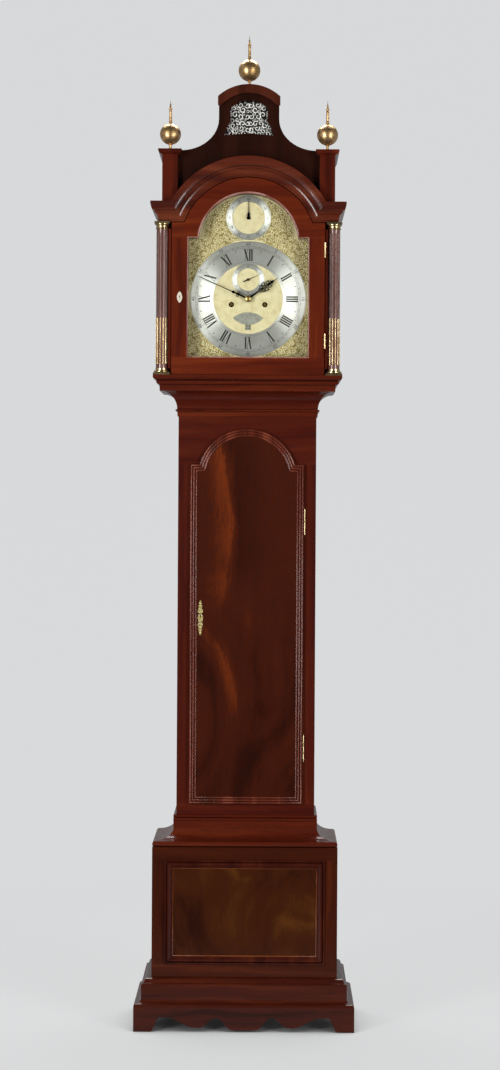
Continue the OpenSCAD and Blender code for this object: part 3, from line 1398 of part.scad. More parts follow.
plinth_skirt();
base_carcase();
base_panel_moulding();
base_cove_moulding();
trunk_carcase();
backboard();
throat_moulding();
seatboard();
trunk_hinges();
trunk_door();
trunk_door_moulding();
trunk_door_leaves();
trunk_lock();
hood_base_moulding();
hood_frame();
hood_cornice();
hood_columns();
column_brasses();
bell_top();
sound_fret();
finial_blocks();
finials();
hood_hinges();
hood_door();
hood_glass();
hood_door_leaves();
hood_lock();
dial_plate();
chapter_ring();
spandrels();
seconds_ring();
arch_ring();
name_plaque();
date_ring();
minute_hand();
hour_hand();
seconds_hand();
arch_hand();
cannon_wheel();
minute_wheel();
hour_wheel();
front_plate();
back_plate();
back_cock();
going_barrel();
going_great_wheel();
centre_wheel();
third_wheel();
escape_wheel();
anchor();
pendulum();
strike_barrel();
bell_stand();
hammer();
going_weight();
strike_weight();
going_pulley();
strike_pulley();
going_line();
strike_line();
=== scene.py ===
"""The looks of a longcase clock with a bell-topped hood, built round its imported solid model.

Every piece is in metres in the model's own frame: +Z up, the front faces -Y, and the
origin is the middle of the footprint at floor level. The finishes come first, then the
makers of what repeats, and then the clock's own parts: dial, case, hood, doors and lines.
"""

import json
import logging
import math
import random
from dataclasses import dataclass
from enum import Enum
from typing import Callable, Sequence

import bmesh
import bpy
from mathutils import Matrix, Vector

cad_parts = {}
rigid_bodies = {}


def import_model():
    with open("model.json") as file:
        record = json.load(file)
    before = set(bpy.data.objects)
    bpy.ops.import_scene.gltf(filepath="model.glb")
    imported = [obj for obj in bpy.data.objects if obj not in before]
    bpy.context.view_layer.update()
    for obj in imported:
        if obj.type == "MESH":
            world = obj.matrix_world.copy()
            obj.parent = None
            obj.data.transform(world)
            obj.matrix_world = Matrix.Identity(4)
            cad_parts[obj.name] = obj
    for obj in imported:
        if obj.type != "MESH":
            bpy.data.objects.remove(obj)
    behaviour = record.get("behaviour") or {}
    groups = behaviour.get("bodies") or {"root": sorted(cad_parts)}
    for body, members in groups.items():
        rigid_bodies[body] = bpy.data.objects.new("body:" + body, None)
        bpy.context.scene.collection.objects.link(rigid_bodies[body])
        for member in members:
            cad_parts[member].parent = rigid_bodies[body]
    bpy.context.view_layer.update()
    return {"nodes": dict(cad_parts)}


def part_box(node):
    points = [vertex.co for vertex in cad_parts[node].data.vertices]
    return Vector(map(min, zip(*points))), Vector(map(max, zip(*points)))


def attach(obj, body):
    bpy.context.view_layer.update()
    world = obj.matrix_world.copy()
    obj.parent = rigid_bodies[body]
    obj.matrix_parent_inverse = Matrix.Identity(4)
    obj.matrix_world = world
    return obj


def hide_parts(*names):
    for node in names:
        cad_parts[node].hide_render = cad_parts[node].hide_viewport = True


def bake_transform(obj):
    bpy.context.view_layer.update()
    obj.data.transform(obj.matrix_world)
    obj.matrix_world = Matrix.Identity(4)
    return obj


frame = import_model()
LOG = logging.getLogger("clock")
MM = 0.001
TURN = 2 * math.pi

Point = tuple[float, float, float]
Flat = tuple[float, float]
Outline = list[Flat]
Tree = bpy.types.NodeTree
Node = bpy.types.Node
Socket = bpy.types.NodeSocket


# Node helpers

def linear(code: str) -> tuple[float, float, float, float]:
    """Turn an sRGB hex value to the linear colour that a shader takes.

    Args:
        code: six hexadecimal digits.

    Returns:
        Linear red, green, blue and an alpha of 1.
    """
    parts = [int(code[i:i + 2], 16) / 255 for i in (0, 2, 4)]
    red, green, blue = (c / 12.92 if c <= 0.04045 else ((c + 0.055) / 1.055) ** 2.4 for c in parts)
    return red, green, blue, 1.0


def put(tree: Tree, kind: str, inputs: dict | None = None, stops: Sequence[tuple[float, str]] = (),
        **settings: object) -> Node:
    """Add a node with its settings, and set or link its inputs.

    Args:
        tree: the tree that takes the node.
        kind: the node's type, without the prefix for shader nodes.
        inputs: socket name or number to a value, to an output, or to a node for its first output.
        stops: a colour ramp's places, in order, and their sRGB hex values.
        **settings: the node's own properties.

    Returns:
        The new node.
    """
    node = tree.nodes.new(kind if "Node" in kind else "ShaderNode" + kind)
    for name, value in settings.items():
        setattr(node, name, value)
    for key, value in (inputs or {}).items():
        value = value.outputs[0] if isinstance(value, Node) else value
        if isinstance(value, Socket):
            tree.links.new(value, node.inputs[key])
        else:
            node.inputs[key].default_value = value
    for i, (place, code) in enumerate(stops):
        band = node.color_ramp.elements
        element = band[i] if i < len(band) else band.new(1.0)
        element.position, element.color = place, linear(code)
    return node


def middle(node: str) -> Vector:
    """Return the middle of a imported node's box."""
    low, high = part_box(node)
    return (low + high) / 2


def half_width(node: str) -> float:
    """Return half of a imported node's box in x."""
    low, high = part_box(node)
    return (high.x - low.x) / 2


# Finishes

@dataclass(frozen=True)
class Finish:
    """One material of its own name; each kind of finish says what its surface is."""

    name: str

    def surface(self, tree: Tree, place: Socket) -> Node:
        """Build the pattern and return the last shader node."""
        raise NotImplementedError

    def material(self) -> bpy.types.Material:
        """Build the material, whose patterns read Object coordinates."""
        made = bpy.data.materials.new(self.name)
        made.use_nodes = True
        tree = made.node_tree
        tree.nodes.clear()
        put(tree, "OutputMaterial", {0: self.surface(tree, put(tree, "TexCoord").outputs["Object"])})
        return made


class Grain(Enum):
    """The way the wood's fibres run on a piece, as the squeeze of each axis."""

    UPRIGHT = (1.0, 1.0, 0.045)
    LEVEL = (0.045, 0.045, 1.0)


@dataclass(frozen=True)
class Wood(Finish):
    """Mahogany under French polish, planed and rubbed by hand to a thin, deep gloss.

    The polish gives the eye a second, clear highlight over the fibres, and the pores
    show as fine dark strokes along the grain. In the quirks of a moulding, ambient
    occlusion darkens the colour: partly old wax and dust where the rubbing cloth doesn't
    reach, partly painted shade.
    """

    dark: str
    middle: str
    light: str
    grain: Grain = Grain.UPRIGHT
    pore_mm: float = 1.5  # real pores are 0.3 mm wide, too fine to show
    stripe_mm: float = 30.0
    warp_mm: float = 250.0
    ripple_mm: float = 22.22
    fibre_share: float = 0.16
    gloss: float = 0.18
    coat: float = 0.15
    quirk_mm: float = 0.0

    def figure(self, tree: Tree, place: Socket, stripe: Node) -> Node:
        """Return the broad pattern, from 0 for dark to 1 for light; plain wood has only its stripes."""
        return stripe

    def along(self, tree: Tree, place: Socket) -> Point | Node:
        """Return how much each axis is squeezed, so that the pattern runs with the grain."""
        return self.grain.value

    def surface(self, tree: Tree, place: Socket) -> Node:
        """Build broad stripes or a figure, fine fibres, pores, quirks darkened by wax and painted shade, and
        polish.
        """
        warp = put(tree, "TexNoise", {"Vector": place, "Scale": 1000 / self.warp_mm, "Detail": 2.0})
        bent = put(tree, "MixRGB", {0: 0.02, 1: place, 2: warp.outputs["Color"]}, blend_type="LINEAR_LIGHT")
        run = put(tree, "VectorMath", {0: bent, 1: self.along(tree, place)}, operation="MULTIPLY")
        stripe = put(tree, "TexNoise", {"Vector": run, "Scale": 1000 / self.stripe_mm, "Detail": 4.0,
                                        "Roughness": 0.5})
        fibre = put(tree, "TexNoise", {"Vector": run, "Scale": 1000 / self.pore_mm, "Detail": 3.0,
                                       "Roughness": 0.7})
        body = put(tree, "Math", {0: self.figure(tree, place, stripe), 1: 1 - self.fibre_share},
                   operation="MULTIPLY")
        both = put(tree, "Math", {0: fibre, 1: self.fibre_share, 2: body}, operation="MULTIPLY_ADD")
        tone = put(tree, "ValToRGB", {0: both}, [(0.36, self.dark), (0.50, self.middle), (0.66, self.light)])
        tone.color_ramp.interpolation = "EASE"
        pores = put(tree, "ValToRGB", {0: fibre}, [(0.34, "8C8C8C"), (0.44, "FFFFFF")])
        colour = put(tree, "MixRGB", {0: 0.6, 1: tone, 2: pores}, blend_type="MULTIPLY")
        # Ambient occlusion darkens the quirks: partly old wax, partly painted shade.
        if self.quirk_mm:
            bare = put(tree, "AmbientOcclusion", {"Distance": self.quirk_mm * MM}, samples=8).outputs["AO"]
            wax = put(tree, "MapRange", {0: bare, 1: 0.55, 2: 0.92, 3: 0.35, 4: 1.0})
            colour = put(tree, "MixRGB", {0: 1.0, 1: colour, 2: wax}, blend_type="MULTIPLY")
        rough = put(tree, "MapRange", {0: fibre, 1: 0.35, 2: 0.6, 3: self.gloss + 0.10, 4: self.gloss})
        ripple = put(tree, "TexNoise", {"Vector": place, "Scale": 1000 / self.ripple_mm, "Detail": 1.0})
        height = put(tree, "Math", {0: fibre, 1: 0.3, 2: ripple}, operation="MULTIPLY_ADD")
        bump = put(tree, "Bump", {"Height": height, "Strength": 0.08, "Distance": 0.0006})
        return put(tree, "BsdfPrincipled", {
            "Base Color": colour, "Roughness": rough, "Normal": bump, "IOR": 1.52,
            "Specular IOR Level": 0.28, "Coat Weight": self.coat, "Coat Roughness": 0.08})


@dataclass(frozen=True)
class FramedWood(Wood):
    """A joined frame: the grain stands upright in the stiles and lies level in the rails."""

    sill: float = 0.0
    head: float = 1.0

    def along(self, tree: Tree, place: Socket) -> Point | Node:
        """Return the squeeze: level under the sill and over the head, upright between them."""
        high = put(tree, "SeparateXYZ", {0: place}).outputs["Z"]
        under = put(tree, "Math", {0: high, 1: self.sill}, operation="LESS_THAN")
        over = put(tree, "Math", {0: high, 1: self.head}, operation="GREATER_THAN")
        rail = put(tree, "Math", {0: under, 1: over}, operation="ADD")
        fine, _, long = Grain.UPRIGHT.value
        across = put(tree, "MapRange", {0: rail, 3: fine, 4: long})
        upward = put(tree, "MapRange", {0: rail, 3: long, 4: fine})
        return put(tree, "CombineXYZ", {0: across, 1: across, 2: upward})


@dataclass(frozen=True)
class RimmedWood(Wood):
    """Dark wood whose front rim is raised to a lighter, redder tone as a painted highlight on the moulding.
    """

    rim_y: float = 0.0
    blur: float = 0.5 * MM

    def figure(self, tree: Tree, place: Socket, stripe: Node) -> Node:
        """Return the stripes, calmed, and raised to the lightest tone in front of the face as a painted
        highlight.
        """
        depth = put(tree, "SeparateXYZ", {0: place}).outputs["Y"]
        # In front of rim_y the tone is raised: a painted highlight on the rim.
        rim = put(tree, "MapRange", {0: depth, 1: self.rim_y - self.blur, 2: self.rim_y + self.blur,
                                     3: 0.24, 4: 0.0})
        calm = put(tree, "MapRange", {0: stripe, 1: 0.36, 2: 0.66, 3: 0.34, 4: 0.52})
        return put(tree, "Math", {0: calm, 1: rim}, operation="ADD")


@dataclass(frozen=True)
class SwirlWood(Wood):
    """Veneer cut near a fork of the tree: soft clouds that curl, longer than they are wide."""

    cloud_mm: float = 250.0
    squeeze: float = 0.5
    share: float = 0.8

    def figure(self, tree: Tree, place: Socket, stripe: Node) -> Node:
        """Return clouds mixed over the stripes."""
        tall = put(tree, "VectorMath", {0: place, 1: (1.0, 1.0, self.squeeze)}, operation="MULTIPLY")
        cloud = put(tree, "TexNoise", {"Vector": tall, "Scale": 1000 / self.cloud_mm, "Detail": 5.0,
                                       "Roughness": 0.5, "Distortion": 1.8})
        return put(tree, "Mix", {0: self.share, 2: stripe, 3: cloud})


@dataclass(frozen=True)
class FlameWood(SwirlWood):
    """The long flame of a door veneer: one orange feather that bends down one side.

    The feather is bright at its crest, cut off sharply against the dark heart of the veneer,
    and fades out gently towards the edge.
    """

    crest_x: float = 0.010
    crest_z: float = 1.24
    bend: float = 0.62
    ragged_m: float = 0.09
    sharp_m: float = 0.006

    def figure(self, tree: Tree, place: Socket, stripe: Node) -> Node:
        """Return the feather, its dark heart and, lower down, a few clouds."""
        axes = put(tree, "SeparateXYZ", {0: place})
        high = put(tree, "Math", {0: axes.outputs["Z"], 1: self.crest_z}, operation="SUBTRACT")
        square = put(tree, "Math", {0: high, 1: high}, operation="MULTIPLY")
        curved = put(tree, "Math", {0: square, 1: self.bend, 2: axes.outputs["X"]}, operation="MULTIPLY_ADD")
        long = put(tree, "VectorMath", {0: place, 1: (26.0, 1.0, 4.5)}, operation="MULTIPLY")
        ragged = put(tree, "TexNoise", {"Vector": long, "Scale": 1.0, "Detail": 5.0, "Roughness": 0.6,
                                        "Distortion": 0.5})
        shifted = put(tree, "Math", {0: ragged, 1: self.ragged_m, 2: curved}, operation="MULTIPLY_ADD")
        away = put(tree, "Math", {0: shifted, 1: self.crest_x}, operation="SUBTRACT")
        rise = put(tree, "MapRange", {0: away, 1: -0.12, 2: -self.sharp_m, 3: 0.42, 4: 0.66})
        fall = put(tree, "MapRange", {0: away, 1: -self.sharp_m, 2: 0.020, 3: 0.0, 4: -0.26})
        back = put(tree, "MapRange", {0: away, 1: 0.02, 2: 0.11, 3: 0.0, 4: 0.12})
        feather = put(tree, "Math", {0: rise, 1: fall}, operation="ADD")
        whole = put(tree, "Math", {0: feather, 1: back}, operation="ADD")
        strong = put(tree, "MapRange", {0: axes.outputs["Z"], 1: 0.96, 2: 1.20, 3: 0.0, 4: 0.85})
        cloudy = super().figure(tree, place, stripe)
        darker = put(tree, "MapRange", {0: cloudy, 1: 0.36, 2: 0.66, 3: 0.34, 4: 0.60})
        return put(tree, "Mix", {0: strong, 2: darker, 3: whole})


@dataclass(frozen=True)
class Metal(Finish):
    """A cast, turned or rolled metal with hand polish and a little tarnish in clouds.

    Cloudy tarnish and fine rubbing marks keep the highlights from looking like glass.
    """

    clean: str
    tarnish: str
    rough: float = 0.22
    cloud_mm: float = 14.0
    tarnish_share: float = 0.45
    pit_mm: float = 0.9  # coarser than casting pits of 0.2 mm, which wouldn't show
    pit_depth: float = 0.15
    metallic: float = 1.0

    def surface(self, tree: Tree, place: Socket) -> Node:
        """Build clouds of tarnish, duller where they are dark, and fine pits."""
        cloud = put(tree, "TexNoise", {"Vector": place, "Scale": 1000 / self.cloud_mm, "Detail": 6.0,
                                       "Roughness": 0.65})
        pits = put(tree, "TexNoise", {"Vector": place, "Scale": 1000 / self.pit_mm, "Detail": 2.0})
        bright = put(tree, "MapRange", {0: cloud, 1: 0.35, 2: 0.35 + self.tarnish_share, 3: 0.0, 4: 1.0})
        tone = put(tree, "ValToRGB", {0: bright},
                   [(0.0, self.tarnish), (0.55, self.clean), (1.0, self.clean)])
        rough = put(tree, "MapRange", {0: cloud, 1: 0.3, 2: 0.6, 3: self.rough + 0.14, 4: self.rough})
        bump = put(tree, "Bump", {"Height": pits, "Strength": self.pit_depth, "Distance": 0.0003})
        return put(tree, "BsdfPrincipled", {"Base Color": tone, "Roughness": rough, "Normal": bump,
                                            "Metallic": self.metallic})


@dataclass(frozen=True)
class Silvering(Finish):
    """Brass silvered with paste and rubbed round in circles, then lacquered.

    The round rubbing fans the light out, so a circle shows bright at its sides and dull
    above and below.
    """

    middle: Point
    clean: str = "F8F8F4"
    dull: str = "EAEAE3"
    line_mm: float = 0.5556  # real rubbing lines are 0.1 mm apart, too fine to show
    cloud_mm: float = 33.33
    spread: float = 0.97
    metallic: float = 0.66

    def surface(self, tree: Tree, place: Socket) -> Node:
        """Build the silver with its rubbing round the given middle."""
        out = put(tree, "VectorMath", {0: place, 1: self.middle}, operation="SUBTRACT")
        flat = put(tree, "VectorMath", {0: out, 1: (1.0, 0.0, 1.0)}, operation="MULTIPLY")
        away = put(tree, "VectorMath", {0: flat}, operation="NORMALIZE")
        reach = put(tree, "VectorMath", {0: flat}, operation="LENGTH").outputs["Value"]
        lines = put(tree, "TexNoise", {"W": reach, "Scale": 1000 / self.line_mm, "Detail": 2.0},
                    noise_dimensions="1D")
        cloud = put(tree, "TexNoise", {"Vector": place, "Scale": 1000 / self.cloud_mm, "Detail": 5.0})
        tone = put(tree, "ValToRGB", {0: cloud}, [(0.35, self.dull), (0.6, self.clean)])
        rough = put(tree, "MapRange", {0: lines, 3: 0.38, 4: 0.46})
        return put(tree, "BsdfPrincipled", {"Base Color": tone, "Tangent": away, "Roughness": rough,
                                            "Metallic": self.metallic, "Anisotropic": self.spread})


@dataclass(frozen=True)
class Matting(Finish):
    """Brass matted with a fine punch and fire gilt: a pale, sandy glow without gloss.

    Thousands of punch marks scatter the light, so it stays bright from every side.
    """

    bright: str = "F3E7BC"
    deep: str = "D6C48E"
    grain_mm: float = 1.3  # real punch marks are 0.4 mm apart, too fine to show
    cloud_mm: float = 18.18
    metallic: float = 0.35

    def surface(self, tree: Tree, place: Socket) -> Node:
        """Build the punched and gilded ground."""
        punch = put(tree, "TexVoronoi", {"Vector": place, "Scale": 1000 / self.grain_mm}).outputs["Distance"]
        cloud = put(tree, "TexNoise", {"Vector": place, "Scale": 1000 / self.cloud_mm, "Detail": 4.0})
        spots = put(tree, "Math", {0: punch, 1: 0.55, 2: cloud}, operation="MULTIPLY_ADD")
        tone = put(tree, "ValToRGB", {0: spots}, [(0.45, self.deep), (0.85, self.bright)])
        bump = put(tree, "Bump", {"Height": punch, "Strength": 0.5, "Distance": 0.0003})
        return put(tree, "BsdfPrincipled", {"Base Color": tone, "Normal": bump, "Roughness": 0.5,
                                            "Metallic": self.metallic})


@dataclass(frozen=True)
class Cloth(Finish):
    """Fine black silk behind the pierced brass: dull, with its weave only just to be seen."""

    thread_mm: float = 0.6  # real silk has threads of 0.15 mm, too fine to show

    def surface(self, tree: Tree, place: Socket) -> Node:
        """Build the woven black."""
        weave = put(tree, "TexChecker", {"Vector": place, "Scale": 1000 / self.thread_mm,
                                         1: linear("0B0A09"), 2: linear("181614")})
        return put(tree, "BsdfPrincipled", {"Base Color": weave, "Roughness": 0.95, "Sheen Weight": 0.1})


@dataclass(frozen=True)
class Glass(Finish):
    """Old crown glass, thin and a little wavy, that shows faint grey-green reflections."""

    tint: str = "FBFCFA"
    shine: float = 0.4
    wave_mm: float = 111.1

    def surface(self, tree: Tree, place: Socket) -> Node:
        """Build a clear pane that mirrors on its outer face and doesn't darken the dial."""
        wave = put(tree, "TexNoise", {"Vector": place, "Scale": 1000 / self.wave_mm, "Detail": 1.0})
        bump = put(tree, "Bump", {"Height": wave, "Strength": 0.12, "Distance": 0.004})
        clear = put(tree, "BsdfTransparent", {0: linear(self.tint)})
        mirror = put(tree, "BsdfGlossy", {"Color": linear("FFFFFF"), "Roughness": 0.07, "Normal": bump})
        rim = put(tree, "Fresnel", {"IOR": 1.5, "Normal": bump})
        inner = put(tree, "NewGeometry").outputs["Backfacing"]
        outer = put(tree, "Math", {0: 1.0, 1: inner}, operation="SUBTRACT")
        faced = put(tree, "Math", {0: rim, 1: outer}, operation="MULTIPLY")
        share = put(tree, "Math", {0: faced, 1: self.shine}, operation="MULTIPLY")
        return put(tree, "MixShader", {0: share, 1: clear, 2: mirror})


@dataclass(frozen=True)
class Cord(Finish):
    """Twisted gut line, amber and dense, with its lay showing as a slant."""

    dark: str = "8A6A3C"
    light: str = "D6BD8A"
    lay_mm: float = 3.307

    def surface(self, tree: Tree, place: Socket) -> Node:
        """Build the twist as slanting bands, light and raised."""
        scale = TURN / 10 / (self.lay_mm * MM)  # the wave repeats ten times in each turn of its scale
        lay = put(tree, "TexWave", {"Vector": place, "Scale": scale, "Distortion": 0.6},
                  bands_direction="DIAGONAL").outputs["Fac"]
        tone = put(tree, "ValToRGB", {0: lay}, [(0.0, self.dark), (1.0, self.light)])
        bump = put(tree, "Bump", {"Height": lay, "Strength": 0.5, "Distance": 0.0003})
        return put(tree, "BsdfPrincipled", {"Base Color": tone, "Normal": bump, "Roughness": 0.42})


@dataclass(frozen=True)
class Enamel(Finish):
    """Black shellac wax run into engraved lines and stoned flush: dull, with a faint sheen."""

    colour: str
    worn: str = "2C2A24"
    cloud_mm: float = 2.5

    def surface(self, tree: Tree, place: Socket) -> Node:
        """Build the wax, a little uneven where it was stoned back."""
        cloud = put(tree, "TexNoise", {"Vector": place, "Scale": 1000 / self.cloud_mm, "Detail": 2.0})
        tone = put(tree, "ValToRGB", {0: cloud}, [(0.3, self.colour), (0.75, self.worn)])
        return put(tree, "BsdfPrincipled", {"Base Color": tone, "Roughness": 0.5})


@dataclass(frozen=True)
class Paper(Finish):
    """Seamless studio paper, matt and pale, that stays even however the lamps fall on it.

    It glows by itself for the eye, less where the clock stands close over it, which is its
    contact shadow. In polished wood it mirrors dark near the clock, and from behind it is clear.
    """

    colour: str = "D9DADB"
    near: Flat = (0.5, 2.4)
    shadow_m: float = 0.22

    def surface(self, tree: Tree, place: Socket) -> Node:
        """Build the glow, the matt share that takes shadows, and the mirrored tone."""
        rays = put(tree, "LightPath").outputs
        shown = put(tree, "Math", {0: rays["Is Camera Ray"], 1: rays["Is Transmission Ray"]},
                    operation="MAXIMUM")
        reach = put(tree, "VectorMath", {0: place}, operation="LENGTH").outputs["Value"]
        share = put(tree, "MapRange", {0: reach, 1: self.near[0], 2: self.near[1], 3: 0.24, 4: 0.03})
        own = put(tree, "MapRange", {0: reach, 1: self.near[0], 2: self.near[1], 3: 0.715, 4: 0.975})
        open_sky = put(tree, "AmbientOcclusion", {"Distance": self.shadow_m}, samples=8).outputs["AO"]
        lit = put(tree, "MapRange", {0: open_sky, 1: 0.30, 2: 0.70, 3: 0.02, 4: 1.0})
        free = put(tree, "Math", {0: own, 1: lit}, operation="MULTIPLY")
        strength = put(tree, "Math", {0: shown, 1: free}, operation="MULTIPLY")
        glow = put(tree, "Emission", {0: linear(self.colour), 1: strength})
        matt = put(tree, "BsdfDiffuse", {0: put(tree, "CombineXYZ", {0: share, 1: share, 2: share})})
        both = put(tree, "AddShader", {0: glow, 1: matt})
        depth = put(tree, "SeparateXYZ", {0: place}).outputs["Y"]
        mirrored = put(tree, "MapRange", {0: depth, 1: -1.3, 2: -0.4, 3: 0.02, 4: 0.42})
        seen = put(tree, "Emission", {0: linear(self.colour), 1: mirrored})
        front = put(tree, "MixShader", {0: rays["Is Glossy Ray"], 1: both, 2: seen})
        behind = put(tree, "NewGeometry").outputs["Backfacing"]
        return put(tree, "MixShader", {0: behind, 1: front, 2: put(tree, "BsdfTransparent")})


FINISHES = {
    "carcase": Wood("mahogany_upright", "3C1108", "50190B", "622410"),
    "trunk": FramedWood("mahogany_framed", "3E110A", "4A170B", "582010", sill=0.546, head=1.388),
    "cornice": Wood("mahogany_cornice", "42160D", "562111", "6A311D", Grain.LEVEL, gloss=0.2, coat=0.45,
                    quirk_mm=14),
    # Pale pink bead round the hood glass: a painted highlight along the sight edge.
    "bead": Wood("mahogany_bead_painted_highlight", "7C4A40", "98685C", "B08478", gloss=0.2, coat=0.6),
    # Lighter wood of the base panel's fine bead: a painted highlight line.
    "worn": Wood("mahogany_painted_highlight_line", "6A3014", "84431F", "9C5A30", Grain.LEVEL, gloss=0.2, coat=0.5),
    "finial": Metal("finial_brass", "DCB484", "A0804F", 0.30, 20.0, metallic=0.9),
    "moulding": Wood("mahogany_moulding", "421208", "501A0C", "60240F", Grain.LEVEL, quirk_mm=10),
    "skirt": Wood("mahogany_skirt", "2A0D06", "3E140A", "501F0E", Grain.LEVEL),
    "trim": Wood("mahogany_trim", "36110A", "42170D", "50200F", gloss=0.14, coat=0.6, quirk_mm=8),
    "reeds": Wood("mahogany_reeds", "4A1D10", "62291A", "7C3D2B", gloss=0.22, coat=0.4),
    "hood": FramedWood("mahogany_red", "4C1709", "5C1F0C", "6C2A10", stripe_mm=22, sill=1.651, head=1.944),
    "bell": RimmedWood("mahogany_dark", "210B05", "2B1008", "4E2215", stripe_mm=40,
                       rim_y=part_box("bell_top")[0].y + 4 * MM),
    "base": FramedWood("mahogany_base", "2E0E06", "3C1508", "50200D", stripe_mm=40, sill=0.158, head=0.414),
    "panel": SwirlWood("mahogany_panel", "2A0E05", "3D1A08", "5A3210", cloud_mm=238.1, squeeze=0.9,
                       share=0.85),
    "figured": FlameWood("mahogany_figured", "280B04", "3E1508", "702E0F"),
    "oak": Wood("oak_backboard", "4A3622", "7A5C3C", "9A7A54", stripe_mm=34, gloss=0.62, coat=0.0),
    "column": Wood("mahogany_turned", "402018", "62392F", "805A50", gloss=0.26, coat=0.9),
    "brass": Metal("polished_brass", "D6C094", "9C8256", 0.21, 22.0),
    "gilt": Metal("gilt_brass", "DBC281", "8F7238", 0.30, 6.0),
    "movement": Metal("movement_brass", "C9A458", "8C6C36", 0.28, 26.0),
    "silvered": Metal("silvered_brass", "B9BAB0", "96968B", 0.42, 14.0, metallic=0.6),
    "blued": Metal("blued_steel", "14161F", "0A0A0E", 0.26, 20.0),
    "steel": Metal("arbor_steel", "A5A7A8", "6E6E6C", 0.26, 18.0),
    "bell_metal": Metal("bell_metal", "C0A276", "8A6F48", 0.34, 16.0),
    "lead": Metal("lead_brass", "C09A52", "7C5C2C", 0.24, 30.0),
    # Lit and shaded copies of one gilt: the pale scrolls are a painted highlight, their darker ground is
    # painted shade.
    "relief_lit": Metal("gilt_painted_highlight", "FFF8D2", "EAD79A", 0.30, 4.0, metallic=0.1),
    "relief_shade": Metal("shaded_gilt", "B4A260", "7C6A36", 0.5, 5.0, metallic=0.1),
    "cream": Metal("silvered_lock", "EAE0CE", "C9BDA6", 0.4, 9.0, metallic=0.3),
    "fret": Metal("silvered_fret", "FFFFFA", "E8E7DC", 0.34, 8.0, metallic=0.1),
    "matted": Matting("matted_gilt"),
    "ring_silver": Silvering("silvered_chapter", tuple(middle("chapter_ring"))),
    "seconds_silver": Silvering("silvered_seconds", tuple(middle("seconds_ring"))),
    "arch_silver": Silvering("silvered_arch", tuple(middle("arch_ring"))),
    "glass": Glass("window_glass"),
    "gut": Cord("gut_line"),
    "wax": Enamel("engraver_wax", "0C0B08"),
    "cloth": Cloth("black_cloth"),
}
NODE_FINISH = {
    "carcase": ("hood_frame", "finial_blocks"),
    "trunk": ("trunk_carcase",),
    "cornice": ("hood_cornice",),
    "finial": ("finials",),
    "column": ("hood_columns",),
    "reeds": ("trunk_door_moulding",),
    "moulding": ("base_cove_moulding", "throat_moulding", "hood_base_moulding"),
    "skirt": ("plinth_skirt",),
    "trim": ("base_panel_moulding",),
    "bell": ("bell_top",),
    "base": ("base_carcase",),
    "hood": ("hood_door",),
    "figured": ("trunk_door",),
    "oak": ("backboard", "seatboard"),
    "brass": ("trunk_hinges", "trunk_door_leaves", "column_brasses", "hood_hinges", "hood_door_leaves"),
    "gilt": ("spandrels",),
    "cream": ("hood_lock",),
    # The escutcheon plate under its scrolls takes the darker gilt: painted shade.
    "relief_shade": ("trunk_lock",),
    "matted": ("dial_plate",),
    "movement": ("cannon_wheel", "minute_wheel", "hour_wheel", "front_plate", "back_plate",
                 "back_cock", "going_barrel", "going_great_wheel", "centre_wheel", "third_wheel",
                 "escape_wheel", "strike_barrel", "going_pulley", "strike_pulley"),
    "silvered": ("name_plaque", "date_ring"),
    "ring_silver": ("chapter_ring",),
    "seconds_silver": ("seconds_ring",),
    "arch_silver": ("arch_ring",),
    "blued": ("minute_hand", "hour_hand", "seconds_hand", "arch_hand"),
    "steel": ("anchor", "hammer"),
    "fret": ("sound_fret",),
    "bell_metal": ("bell_stand",),
    "lead": ("pendulum", "going_weight", "strike_weight"),
    "glass": ("hood_glass",),
    "gut": ("going_line", "strike_line"),
}


class Palette:
    """Builds each finish once and hands it out by name."""

    def __init__(self) -> None:
        """Start with nothing built."""
        self.made: dict[str, bpy.types.Material] = {}

    def get(self, name: str) -> bpy.types.Material:
        """Return the finish of that name, and build it the first time."""
        if name not in self.made:
            self.made[name] = FINISHES[name].material()
        return self.made[name]

    def dress(self, piece: bpy.types.Object, name: str) -> None:
        """Give a piece one finish all over."""
        piece.data.materials.clear()
        piece.data.materials.append(self.get(name))

    def dress_nodes(self) -> None:
        """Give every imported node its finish."""
        for finish, nodes in NODE_FINISH.items():
            for node in nodes:
                self.dress(frame["nodes"][node], finish)
                LOG.info("%s takes the finish %s", node, finish)


# Shared shape makers

def spread(first: float, last: float, steps: int) -> list[float]:
    """Return equally spaced values from the first to the last, with both ends."""
    return [first + (last - first) * i / steps for i in range(steps + 1)]


def bow(centre: Flat, radius: float, angles: Sequence[float]) -> Outline:
    """Return the points of a circle at the angles, which turn from the right to the top."""
    return [(centre[0] + radius * math.cos(a), centre[1] + radius * math.sin(a)) for a in angles]


def beyond(x: float, z: float, centre_z: float, radius: float) -> bool:
    """Say whether a point lies outside a circle whose centre is on the clock's middle line."""
    return math.hypot(x, z - centre_z) > radius


def link_new(name: str, data: bpy.types.ID) -> bpy.types.Object:
    """Put a mesh, a lamp or a camera in the scene as an object at the origin.

    Args:
        name: the object's name.
        data: what it shows; a mesh has its place in its points.

    Returns:
        The new object.
    """
    made = bpy.data.objects.new(name, data)
    bpy.context.scene.collection.objects.link(made)
    return made


def wire(name: str, points: Sequence[Point], edges: Sequence[tuple[int, int]] = ()) -> bpy.types.Mesh:
    """Make a mesh of bare points and edges.

    Args:
        name: the mesh's name.
        points: its points.
        edges: pairs of point numbers; none where the points stand loose.

    Returns:
        The mesh.
    """
    mesh = bpy.data.meshes.new(name)
    mesh.from_pydata(points, edges, [])
    return mesh


def joined(count: int, start: int = 0, closed: bool = True) -> list[tuple[int, int]]:
    """Return the edges of a line of points, numbered from the start, closed or open."""
    return [(start + i, start + (i + 1) % count) for i in range(count if closed else count - 1)]


